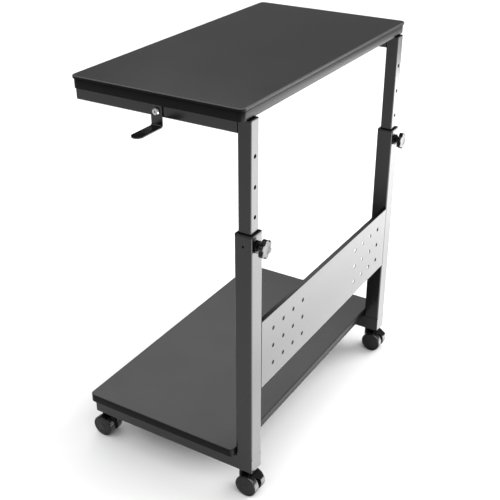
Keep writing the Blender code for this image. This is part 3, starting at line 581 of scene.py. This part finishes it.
for side in ("near", "far"):
    low, high, middle = span(side + "_clamp_knob")
    length = high.x - low.x
    head = length - KNOB_HEAD
    t = np.linspace(0, 1, 9)
    rows = [(0, length - 0.004, 0), (KNOB_BORE, length - 0.004, 0), (KNOB_BORE, 0, 0),
            (KNOB_FLARE - 0.0003, 0, 0), (KNOB_FLARE, 0.0004, 0), (KNOB_FLARE, 0.0010, 0)]
    rows += [(KNOB_NECK + (KNOB_FLARE - KNOB_NECK) * (1 - f) ** 2.2, 0.0012 + (head - 0.0012) * f, 0)
             for f in t]
    rows += [(0.0085, head + 0.0002, 0.0010), (0.0120, head, 0.0030)]
    rows += [(KNOB_RADIUS - depth, head + inset, KNOB_LOBE) for inset, depth in quarter_round(KNOB_EDGE)]
    rows += [(KNOB_RADIUS - inset, length - depth, KNOB_LOBE) for inset, depth in quarter_round(KNOB_EDGE)]
    rows += [(0.0122, length, 0.0034), (0.0095, length - 0.0001, 0.0016), (0.0070, length - 0.0003, 0.0004),
             (0.0062, length - 0.0005, 0), (0.0030, length - 0.0006, 0), (0, length - 0.0006, 0)]
    knob = set_down(lobed(rows), (low.x, middle.y, middle.z), x=(0, 0, -1), y=(0, 1, 0), z=(1, 0, 0))
    make_piece(side + "_star_knob", closed(knob), plastic, side + "_knob", "black_plastic",
               side + "_clamp_knob")

# ------------------------------------------------------------------ hooks
# A 20 mm strip of 2 mm steel, its free end rounded, bent to a right angle and
# screwed to the outside of each arm; bags and headphones hang on the tongue.
STRIP = 0.002
STRIP_HALF = 0.010
STRIP_EASE = 0.0004
BEND = 0.004

for side, outward in (("near", -1), ("far", 1)):
    low, high, middle = span(side + "_hook")
    root, tip = (high.y, low.y) if outward < 0 else (low.y, high.y)
    root, tip = abs(root) + STRIP / 2, abs(tip)
    tongue = low.z + STRIP / 2
    down = np.linspace(high.z - STRIP_EASE, tongue + BEND, 6)
    turn = np.linspace(0, np.pi / 2, 9)[1:]
    bend = np.stack([root + BEND * (1 - np.cos(turn)), tongue + BEND * (1 - np.sin(turn))], -1)
    straight = np.linspace(root + BEND, tip - STRIP_HALF, 5)[1:]
    round_end = tip - STRIP_HALF * (1 - np.sin(np.linspace(0, np.pi / 2, 13)[1:] * 0.985))
    out = np.concatenate([np.full(6, root), bend[:, 0], straight, round_end])
    level = np.concatenate([down, bend[:, 1], np.full(len(straight) + len(round_end), tongue)])
    past = np.maximum(out - (tip - STRIP_HALF), 0)
    half = np.sqrt(STRIP_HALF ** 2 - past ** 2)
    half[0] -= STRIP_EASE
    run = np.stack([np.gradient(out), np.gradient(level)], -1)
    normal = np.stack([-run[:, 1], run[:, 0]], -1) / np.linalg.norm(run, axis=1, keepdims=True)
    corners = np.array([(-1, -1), (1, -1), (1, 1), (-1, 1)]) * (STRIP_HALF, STRIP / 2)
    section = eased(corners, STRIP_EASE, 3)
    strip = np.empty((len(out), len(section), 3))
    strip[..., 0] = section[:, 0] * (half / STRIP_HALF)[:, None]
    strip[..., 1] = outward * (out[:, None] + normal[:, :1] * section[:, 1])
    strip[..., 2] = level[:, None] + normal[:, 1:] * section[:, 1]
    ends = np.stack([np.broadcast_to(strip[i].mean(0), strip[i].shape) for i in (0, -1)])
    strip = np.concatenate([ends[:1], strip, ends[1:]])
    strip = set_down(strip, (middle.x, 0, 0))
    make_piece(side + "_bag_hook", closed(strip), coat, "table_carriage", "black_powder_coat",
               side + "_hook")

    low, high, middle = span(side + "_hook_screw")
    height, length = 0.0032, 0.012
    seat = (low.y + height) if outward < 0 else (high.y - height)
    at = (middle.x, seat, middle.z)
    grid = set_down(screw(0.0028, 0.0058, height, length, "hex"), at,
                    x=(1, 0, 0), y=(0, 0, -outward), z=(0, outward, 0))
    make_piece(side + "_hook_bolt", closed(grid), zinc, "table_carriage", "zinc_steel",
               side + "_hook_screw")

# ---------------------------------------------------- table and shelf boards
# 15 mm particle board faced with black melamine; its edges are closed with a
# 1 mm plastic band, ironed on and trimmed flush, whose joint shows as a fine line.
BOARD_CORNER = 0.009
BOARD_EASE = 0.0009
BAND_JOINT = 0.0014
GROOVE = 0.00015


def melamine():
    """Black melamine paper pressed on board: satin, with a shallow 1.2 mm pearl from the press
    plate, drawn at 2.4 mm, and wide soft clouds where it was wiped."""
    finish, tree, out, place = new_finish("satin_melamine")
    pearl = add(tree, "ShaderNodeTexNoise", Vector=place, Scale=1 / 0.0024, Detail=2.0)
    cloud = add(tree, "ShaderNodeTexNoise", Vector=place, Scale=1 / 0.070, Detail=3.0)
    relief = add(tree, "ShaderNodeBump", Height=pearl.outputs["Fac"], Strength=0.12, Distance=0.0002)
    two_tone(tree, out, cloud.outputs["Fac"], ("#090909", "#0E0E0F"), (0.24, 0.34), relief, IOR=1.57)
    return finish


def edge_band():
    """ABS edge band, scraped after trimming: flat black with fine lengthways scraper marks every
    0.6 mm, drawn at 1.2 mm; its low reflection keeps the board's edges darker than its face."""
    finish, tree, out, place = new_finish("scraped_abs_band")
    marks = add(tree, "ShaderNodeMapping", Vector=place, Scale=(1.0, 1.0, 24.0))
    lines = add(tree, "ShaderNodeTexNoise", Vector=marks.outputs["Vector"], Scale=1 / 0.029, Detail=2.0)
    relief = add(tree, "ShaderNodeBump", Height=lines.outputs["Fac"], Strength=0.10, Distance=0.0001)
    two_tone(tree, out, lines.outputs["Fac"], ("#020202", "#050505"), (0.26, 0.38), relief,
             IOR=1.54, Specular_IOR_Level=0.08)
    return finish


def finish_edge(piece, *finishes):
    """Adds finishes to a board.  Faces that don't lie flat, |n.z| < 0.9, take the first of
    them, and if there is a second, the slanted ones on top, 0.3 <= n.z < 0.9, take that."""
    mesh = piece.data
    normals = np.empty(len(mesh.polygons) * 3)
    mesh.polygons.foreach_get("normal", normals)
    rise = normals.reshape(-1, 3)[:, 2]
    number = np.where(np.abs(rise) < 0.9, 1, 0)
    if len(finishes) > 1:
        number[(rise >= 0.3) & (rise < 0.9)] = 2
    for finish in finishes:
        mesh.materials.append(finish)
    mesh.polygons.foreach_set("material_index", number.astype(np.int32))


def plan(half_x, half_y, radius, steps=10):
    """Rectangle with round corners: a quarter circle c + r (cos a, sin a) of `steps` lengths at
    each, and a point 2 mm before and after it."""
    turn = np.linspace(0, np.pi / 2, steps + 1)
    quarter = np.stack([np.cos(turn), np.sin(turn)], -1) * radius
    corners = []
    for sx, sy, spin in ((1, 1, 0), (-1, 1, 1), (-1, -1, 2), (1, -1, 3)):
        c, s = [(1, 0), (0, 1), (-1, 0), (0, -1)][spin]
        arc = quarter @ np.array([(c, s), (-s, c)])
        centre = np.array([sx * (half_x - radius), sy * (half_y - radius)])
        lead = arc[0] + 0.002 * np.array([s, -c])
        tail = arc[-1] + 0.002 * np.array([-c, -s])
        corners.append(centre + np.vstack([lead, arc, tail]))
    return np.vstack(corners)


def board(node):
    """Board with eased edges and the fine groove of its edge band on both faces: its plan is
    carried up through quarter-round rows and the groove's V."""
    low, high, middle = span(node)
    size = high - low
    low_edge = [(depth, inset) for inset, depth in quarter_round(BOARD_EASE)]
    high_edge = [(inset, size.z - depth) for inset, depth in quarter_round(BOARD_EASE)]
    over = [(BAND_JOINT, size.z), (BAND_JOINT + GROOVE, size.z - GROOVE),
            (BAND_JOINT + 2 * GROOVE, size.z), (BAND_JOINT + 0.002, size.z)]
    under = [(inset, size.z - z) for inset, z in reversed(over)]
    grid = stacked(plan(size.x / 2, size.y / 2, BOARD_CORNER), under + low_edge + high_edge + over)
    return set_down(grid, (middle.x, middle.y, low.z))


laminate = melamine()
band = edge_band()
for node, body in (("tabletop_board", "table_carriage"), ("shelf_board", "base")):
    piece = make_piece(node + "_banded", closed(board(node)), laminate, body, "black_laminate", node)
    finish_edge(piece, band)

# -------------------------------------------------------------- top sheet
# A 5 mm hard sheet bonded on the table board and standing a little proud of it all round,
# with a ground bevel along its rim that is painted a paler grey: a painted highlight.
RIM_BEVEL = 0.0013


def top_sheet_finish():
    """Black back-painted safety glass, acid-frosted to satin: deep black under a smooth skin.
    The frost, 0.3 mm, is drawn at 1.5 mm and barely shows."""
    finish, tree, out, place = new_finish("frosted_black_glass")
    frost = add(tree, "ShaderNodeTexNoise", Vector=place, Scale=1 / 0.0015, Detail=1.0)
    cloud = add(tree, "ShaderNodeTexNoise", Vector=place, Scale=1 / 0.120, Detail=2.0)
    gloss = add(tree, "ShaderNodeMapRange", Value=cloud.outputs["Fac"], To_Min=0.17, To_Max=0.22)
    relief = add(tree, "ShaderNodeBump", Height=frost.outputs["Fac"], Strength=0.04, Distance=0.0001)
    skin = add(tree, "ShaderNodeBsdfPrincipled", Base_Color=linear("#0A0A0B"),
               Roughness=gloss.outputs["Result"], IOR=1.52, Normal=relief.outputs["Normal"])
    tree.links.new(skin.outputs["BSDF"], out.inputs["Surface"])
    return finish


def painted_highlight_bevel():
    """Bevel ground on a belt and left unpolished, its scratches 0.6 mm across in the relief.  Its
    paler grey is a painted highlight: the rim's catch-light painted into the colour round the black face."""
    finish, tree, out, place = new_finish("bevel_painted_highlight")
    frost = add(tree, "ShaderNodeTexNoise", Vector=place, Scale=1 / 0.0006, Detail=2.0)
    tint = add(tree, "ShaderNodeMix", data_type="RGBA", Factor=frost.outputs["Fac"])
    tint.inputs[6].default_value, tint.inputs[7].default_value = map(linear, ("#2E2F31", "#3C3D3F"))
    relief = add(tree, "ShaderNodeBump", Height=frost.outputs["Fac"], Strength=0.15, Distance=0.0001)
    skin = add(tree, "ShaderNodeBsdfPrincipled", Base_Color=tint.outputs[2], Roughness=0.42, IOR=1.52,
               Normal=relief.outputs["Normal"])
    tree.links.new(skin.outputs["BSDF"], out.inputs["Surface"])
    return finish


low, high, middle = span("top_sheet")
size = high - low
rows = [(0.002, 0), (0.0006, 0), (0, 0.0006), (0, size.z - RIM_BEVEL - 0.0002), (0, size.z - RIM_BEVEL),
        (RIM_BEVEL, size.z), (RIM_BEVEL + 0.0002, size.z), (0.003, size.z)]
sheet = set_down(stacked(plan(size.x / 2, size.y / 2, BOARD_CORNER, 12), rows),
                 (middle.x, middle.y, low.z))
piece = make_piece("bonded_top_sheet", closed(sheet), top_sheet_finish(), "table_carriage",
                   "black_top_sheet", "top_sheet")
# The slanted bevel faces on top take a paler grey, a painted highlight along the rim.
finish_edge(piece, band, painted_highlight_bevel())

# ---------------------------------------------------------------- casters
# Four 40 mm twin-wheel casters with grip-ring stems pressed into the feet.  The
# hood is one moulding: fender, web, stem socket and hub; the two under the legs
# carry a foot lever that presses a shoe on the treads.
WHEEL_RADIUS = 0.020
WHEEL_WIDTH = 0.0128
AXLE_BORE = 0.0022
HOOD_OUTER = 0.0224
HOOD_INNER = 0.0208
FENDER = (78, 118)
FENDER_EASE = 0.0005
TRAIL = 0.0127
AXLE_LEVEL = 0.020
WEB_HALF = 0.0041
HOOD_HALF = 0.0172
HUB_RADIUS = 0.0065
SOCKET_RADIUS = 0.0078
SOCKET_EDGE = 0.0012
LEVER_AHEAD = 0.0015
LEVER_ABOVE = 0.0027
LEVER_REACH = 0.0228
LEVER_HALF = 0.0105
LEVER_THICK = 0.0013
RIB_HEIGHT = 0.00022
RIB_PITCH = 0.0030
PRESS = np.radians(12)
SHOE_RADIUS = 0.0203
PIN_RADIUS, COLLAR_RADIUS, STEM_RADIUS = 0.0025, 0.0070, 0.0040
ALONG_Y = dict(x=(1, 0, 0), y=(0, 0, 1), z=(0, -1, 0))


def wheel_plastic(name, tints, gloss, sheen):
    """Nylon of a wheel, as smooth as its tool or worn in streaks 3 mm apart.  The face is
    dark and satin; the tread is greyer, partly its own grey nylon and partly a painted highlight
    for the light it catches, and polished by the floor it rolls on."""
    finish, tree, out, place = new_finish(name)
    scuff = add(tree, "ShaderNodeTexNoise", Vector=place, Scale=1 / 0.003, Detail=4.0)
    relief = add(tree, "ShaderNodeBump", Height=scuff.outputs["Fac"], Strength=0.10, Distance=0.0001)
    two_tone(tree, out, scuff.outputs["Fac"], tints, gloss, relief, IOR=1.53, Specular_IOR_Level=sheen)
    return finish


def wheel():
    """Wheel from its inner side, height 0, to its dished outer face, turned about its axle:
    blind bore, hub, hollow back, quarter-round shoulders and a rimmed face."""
    r, w = WHEEL_RADIUS, WHEEL_WIDTH
    back = [(0, w - 0.003), (AXLE_BORE, w - 0.003), (AXLE_BORE, 0), (0.0050, 0), (0.0054, 0.0004),
            (0.0056, 0.0022), (0.0142, 0.0022), (0.0144, 0.0004), (0.0148, 0), (0.0180, 0), (0.0184, 0.0001)]
    inner = [(r - 0.0018 * depth, 0.0020 * inset) for inset, depth in quarter_round(1, 5)]
    outer = [(r - inset, w - depth) for inset, depth in quarter_round(0.0026, 5)]
    face = [(0.0170, w), (0.0166, w - 0.0002), (0.0163, w - 0.0009), (0.0160, w - 0.0011),
            (0.0154, w - 0.0010), (0.0110, w - 0.0007), (0.0062, w - 0.0006), (0.0060, w - 0.0004),
            (0.0057, w - 0.0003), (0.0030, w - 0.0002), (0, w - 0.0002)]
    return turned(back + inner + [(r, w * 0.4), (r, w * 0.6)] + outer + face, 56)


def fender():
    """Band over the wheels: its section, in (radius, width), is carried round the axle and
    put down at (r cos a, r sin a), closed and eased at both ends."""
    corners = np.array([(HOOD_INNER, -HOOD_HALF), (HOOD_OUTER, -HOOD_HALF),
                        (HOOD_OUTER, HOOD_HALF), (HOOD_INNER, HOOD_HALF)])
    ends = np.radians(FENDER)
    first = [(depth, ends[0] + inset / HOOD_OUTER) for inset, depth in quarter_round(FENDER_EASE, 3)]
    last = [(inset, ends[1] - depth / HOOD_OUTER) for inset, depth in quarter_round(FENDER_EASE, 3)]
    middle = [(0, a) for a in np.linspace(*ends, 14)[1:-1]]
    grid = stacked(eased(corners, FENDER_EASE, 3), first + middle + last)
    radius, width, angle = grid[..., 0], grid[..., 1], grid[..., 2]
    return np.stack([TRAIL + radius * np.cos(angle), width, AXLE_LEVEL + radius * np.sin(angle)], -1)


def hood_web():
    """Web between the wheels: sector from the hub to the fender, extruded along the axle."""
    angle = np.radians(np.linspace(FENDER[0] + 1, FENDER[1] - 1, 9))
    arc = np.stack([HOOD_INNER * 1.03 * np.cos(angle), HOOD_INNER * 1.03 * np.sin(angle)], -1)
    line = np.vstack([[(-0.0055, 0.001), (0.0035, 0.001)], arc])
    half = WEB_HALF
    grid = stacked(line, [(0.0003, -half), (0, 0.0003 - half), (0, half - 0.0003), (0.0003, half)])
    return set_down(grid, (TRAIL, 0, AXLE_LEVEL), **ALONG_Y)


def hood(top, lever_lugs):
    """Skins of one hood, its swivel axis on the origin and its trail along +X: a turned stem
    socket and hub, the fender, the web and, for a lever, two lugs with soft corners."""
    r, pin = SOCKET_RADIUS, 0.0027
    socket = [(0, 0.0267), (pin, 0.0267), (pin, top - 0.0003), (pin + 0.0003, top)]
    socket += [(r - depth, top - inset) for inset, depth in quarter_round(SOCKET_EDGE)]
    socket += [(r, AXLE_LEVEL + 0.0008), (r - 0.0008, AXLE_LEVEL), (0, AXLE_LEVEL)]
    r, half = HUB_RADIUS, WEB_HALF
    hub = [(0.0023, -half), (r - 0.0004, -half), (r, 0.0004 - half), (r, half - 0.0004),
           (r - 0.0004, half), (0.0023, half), (0.0023, -half)]
    hub = set_down(turned(hub), (TRAIL, 0, AXLE_LEVEL), **ALONG_Y)
    skins = closed(turned(socket), fender(), hood_web(), hub)
    if lever_lugs:
        pivot = (TRAIL + LEVER_AHEAD, 0, AXLE_LEVEL + HOOD_OUTER + LEVER_ABOVE)
        corners = np.array([(-0.0030, -0.0039), (0.0022, -0.0039), (0.0022, 0.0024), (-0.0030, 0.0024)])
        line = eased(corners, [0.0004, 0.0004, 0.0018, 0.0022], 5)
        for way in (-1, 1):
            near, far = sorted((way * 0.0073, way * 0.0095))
            lug = stacked(line, [(0.0003, near), (0, near + 0.0003), (0, far - 0.0003), (0.0003, far)])
            skins += closed(set_down(lug * (1, 1, -1), pivot, **ALONG_Y))
    return skins


def brake_lever():
    """Foot lever from its pin outwards: a flat section whose half width, thickness and drop
    run smoothly along it, ribbed h cos(2 pi s / pitch) on top for grip, with barrel, pin and
    shoe.  The shoe's arc, turned by the press angle, lies on a circle round the axle."""
    reach = LEVER_REACH
    along = np.concatenate([[-0.0012, -0.0010], np.linspace(-0.0006, reach - 0.0006, 26),
                            [reach - 0.0002, reach]])
    wide = np.interp(along, [0, 0.0041, 0.0074, 0.0105, reach],
                     [0.0066, 0.0070, LEVER_HALF, 0.0098, 0.0045])
    wide[-2:] *= (0.90, 0.72)
    drop = np.interp(along, [0, 0.0041, 0.0074, reach], [0, 0.0006, 0.0021, 0.0066])
    thick = LEVER_THICK * (1.0 - 0.35 * np.clip(along, 0, reach) / reach)
    thick[[0, -1]] *= 0.5
    corners = np.array([(-1, -1), (1, -1), (1, 1), (-1, 1)]) * (LEVER_HALF, LEVER_THICK)
    section = eased(corners, 0.0006, 3)
    ribbed = (along > 0.0108) & (along < 0.0210)
    rib = RIB_HEIGHT * np.cos(2 * np.pi * (along - 0.011) / RIB_PITCH) * ribbed
    pedal = np.empty((len(along), len(section), 3))
    pedal[..., 0] = along[:, None]
    pedal[..., 1] = section[:, 0] * (wide / LEVER_HALF)[:, None]
    top = np.where(section[:, 1] > 0.0010, 1.0, 0.0)
    pedal[..., 2] = (section[:, 1] * (thick / LEVER_THICK)[:, None] - drop[:, None]
                     + top * (rib[:, None] - RIB_HEIGHT))
    ends = np.stack([np.broadcast_to(pedal[i].mean(0), pedal[i].shape) for i in (0, -1)])
    pedal = np.concatenate([ends[:1], pedal, ends[1:]])
    barrel = turned([(0, -0.0070), (0.0018, -0.0070), (0.0021, -0.0067), (0.0021, 0.0067),
                     (0.0018, 0.0070), (0, 0.0070)])
    pin = turned([(0, -0.0092), (0.0011, -0.0092), (0.0011, 0.0092), (0, 0.0092)], 20)
    step = np.linspace(0.005, 0.009, 6)
    sine, cosine = np.sin(PRESS), np.cos(PRESS)
    ahead, above = LEVER_AHEAD + step * cosine, HOOD_OUTER + LEVER_ABOVE - step * sine
    depth = ahead * sine + above * cosine
    low = -(depth - np.sqrt(depth ** 2 - ahead ** 2 - above ** 2 + SHOE_RADIUS ** 2))
    line = np.vstack([np.stack([step, low], -1), [(0.009, -0.0021), (0.005, -0.0012)]])
    shoe = stacked(line, [(0, -0.0100), (0, 0.0100)])
    return closed(pedal) + moved(closed(barrel, pin, shoe), (0, 0, 0), **ALONG_Y)


def roll_edge(piece, tread):
    """Gives the faces that look away from the axle, |n.y| < 0.7, the finish of the tread."""
    mesh = piece.data
    normals = np.empty(len(mesh.polygons) * 3)
    mesh.polygons.foreach_get("normal", normals)
    mesh.materials.append(tread)
    mesh.polygons.foreach_set("material_index", (np.abs(normals[1::3]) < 0.7).astype(np.int32))


hood_nylon = moulded_plastic("hood_nylon", 0.10)
face_nylon = wheel_plastic("wheel_face_nylon", PLASTIC_BLACKS, (0.24, 0.38), 0.26)
# The tread's greyer tints are partly its own grey nylon and partly a painted highlight for the light it
# catches.
tread_painted_highlight = wheel_plastic("wheel_tread_painted_highlight", ("#1A1A1B", "#29292A"), (0.18, 0.30), 0.90)
for side, outward in (("near", -1), ("far", 1)):
    for end, way in (("open", -1), ("leg", 1)):
        name = "%s_%s_caster" % (side, end)
        swivel = "%s_%s_swivel" % (side, end)
        low, high, middle = span(name + "_stem")
        at = (middle.x, middle.y, 0)
        pin, wide, slim = PIN_RADIUS, COLLAR_RADIUS, STEM_RADIUS
        collar = low.z + 0.020
        ring = high.z - 0.005
        profile = [(0, low.z), (pin - 0.0006, low.z), (pin, low.z + 0.0006), (pin, collar),
                   (wide - 0.0003, collar), (wide, collar + 0.0003), (wide, collar + 0.0021),
                   (wide - 0.0003, collar + 0.0024), (slim, collar + 0.0024), (slim, ring - 0.0012),
                   (slim - 0.0006, ring - 0.0008), (slim - 0.0006, ring + 0.0008), (slim, ring + 0.0012),
                   (slim, high.z - 0.0008), (slim - 0.0008, high.z), (0, high.z)]
        make_piece(name + "_grip_stem", closed(set_down(turned(profile), at)), zinc, "base",
                   "zinc_steel", name + "_stem")
        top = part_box(name + "_hood")[1].z if end == "open" else collar - 0.0003
        skins = moved(hood(top, end == "leg"), at, x=(way, 0, 0), y=(0, way, 0))
        make_piece(name + "_moulded_hood", skins, hood_nylon, swivel, "black_plastic", name + "_hood")
        low, high, centre = span(name + "_axle")
        axle = [(0, low.y), (0.0016, low.y), (0.0020, low.y + 0.0004), (0.0020, high.y - 0.0004),
                (0.0016, high.y), (0, high.y)]
        axle = set_down(turned(axle), (centre.x, 0, centre.z), x=(1, 0, 0), y=(0, 0, -1), z=(0, 1, 0))
        make_piece(name + "_pressed_axle", closed(axle), zinc, swivel, "zinc_steel", name + "_axle")
        for place, facing in (("outer", outward), ("inner", -outward)):
            node = "%s_%s_wheel" % (name, place)
            low, high, centre = span(node)
            start = low.y if facing > 0 else high.y
            grid = set_down(wheel(), (centre.x, start, WHEEL_RADIUS),
                            x=(1, 0, 0), y=(0, 0, -facing), z=(0, facing, 0))
            piece = make_piece(node + "_moulded", closed(grid), face_nylon,
                               "%s_%s_%s_wheel" % (side, end, place), "wheel_plastic", node)
            # The tread faces take the tread finish, whose greyer tint is partly a painted highlight.
            roll_edge(piece, tread_painted_highlight)
        if end == "leg":
            pivot = (middle.x + TRAIL + LEVER_AHEAD, middle.y, AXLE_LEVEL + HOOD_OUTER + LEVER_ABOVE)
            make_piece(name + "_foot_lever", moved(brake_lever(), pivot), hood_nylon,
                       side + "_leg_brake", "black_plastic", name + "_brake_lever")

# ----------------------------------------------------- parts left as they are
# The plastic shoes on the upper legs' lower ends work out of sight inside the
# lower legs; they only take the moulded finish.
for side in ("near", "far"):
    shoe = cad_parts[side + "_leg_glide"]
    for place in shoe.material_slots:
        place.material = plastic

# ------------------------------------------------- floor, lights and camera
# A pale matt floor under an even white sky, a wide soft light overhead, three
# soft strips low down on the leg side, which the black coat mirrors, and a soft
# box beyond the far corner that lights the stand without showing in its gloss.
FLOOR_HALF = 15.0
FLOOR_DROP = 0.0002
STRIP_LIGHTS = ((0.18, 0.38, 2.8), (0.38, 0.60, 4.0), (0.60, 1.70, 5.8))
STRIP_LENGTH = 3.2


def pale_floor():
    """Matt emulsion on a studio floor: white, with faint 0.3 m clouding from the roller."""
    finish, tree, out, place = new_finish("studio_floor_paint")
    cloud = add(tree, "ShaderNodeTexNoise", Vector=place, Scale=1 / 0.300, Detail=2.0)
    tint = add(tree, "ShaderNodeMix", data_type="RGBA", Factor=cloud.outputs["Fac"])
    tint.inputs[6].default_value, tint.inputs[7].default_value = map(linear, ("#F2F2F2", "#F6F6F6"))
    skin = add(tree, "ShaderNodeBsdfPrincipled", Base_Color=tint.outputs[2], Roughness=0.9,
               Specular_IOR_Level=0.1)
    tree.links.new(skin.outputs["BSDF"], out.inputs["Surface"])
    return finish


mesh = bpy.data.meshes.new("floor")
corners = [(x * FLOOR_HALF, y * FLOOR_HALF, -FLOOR_DROP) for x, y in ((-1, -1), (1, -1), (1, 1), (-1, 1))]
mesh.from_pydata(corners, [], [(0, 1, 2, 3)])
mesh.materials.append(pale_floor())
floor = bpy.data.objects.new("floor", mesh)
bpy.context.scene.collection.objects.link(floor)


def soft_box(name, at, toward, size, power, mirrored):
    """Rectangular light at a place, turned to face another by the angles of the line between
    them.  None shows itself; only the mirrored ones show in gloss."""
    lamp = bpy.data.lights.new(name, "AREA")
    lamp.shape = "RECTANGLE"
    lamp.size, lamp.size_y = size
    lamp.energy = power
    box = bpy.data.objects.new(name, lamp)
    bpy.context.scene.collection.objects.link(box)
    box.location = at
    aim = np.array(toward, float) - np.array(at, float)
    box.rotation_euler = (np.arctan2(np.hypot(aim[0], aim[1]), -aim[2]), 0, np.arctan2(-aim[0], aim[1]))
    box.visible_camera = False
    box.visible_glossy = mirrored


soft_box("ceiling", (1.5, -0.2, 4.0), (1.5, -0.2, 0.0), (13.0, 13.0), 780, True)
for number, (start, stop, glow) in enumerate(STRIP_LIGHTS):
    width, middle = stop - start, (start + stop) / 2
    soft_box("leg_side_%d" % number, (middle, 0.55, 0.004), (middle, 0.55, 1.0), (width, STRIP_LENGTH),
             glow * np.pi * width * STRIP_LENGTH, True)
soft_box("far_side", (2.1, 2.1, 1.5), (0.2, 0.1, 0.0), (2.6, 2.2), 85, False)

world = bpy.data.worlds.new("white_sky")
bpy.context.scene.world = world
world.use_nodes = True
world.node_tree.nodes["Background"].inputs["Color"].default_value = (1, 1, 1, 1)
world.node_tree.nodes["Background"].inputs["Strength"].default_value = 0.20

view = bpy.data.cameras.new("camera")
view.lens = 64.68
view.sensor_width = 36
view.clip_end = 50
camera = bpy.data.objects.new("camera", view)
bpy.context.scene.collection.objects.link(camera)
camera.location = (0.7482, -1.2478, 1.0804)
camera.rotation_euler = np.radians((62.01, 0, 31.09))
bpy.context.scene.camera = camera
bpy.context.scene.view_settings.view_transform = "Standard"
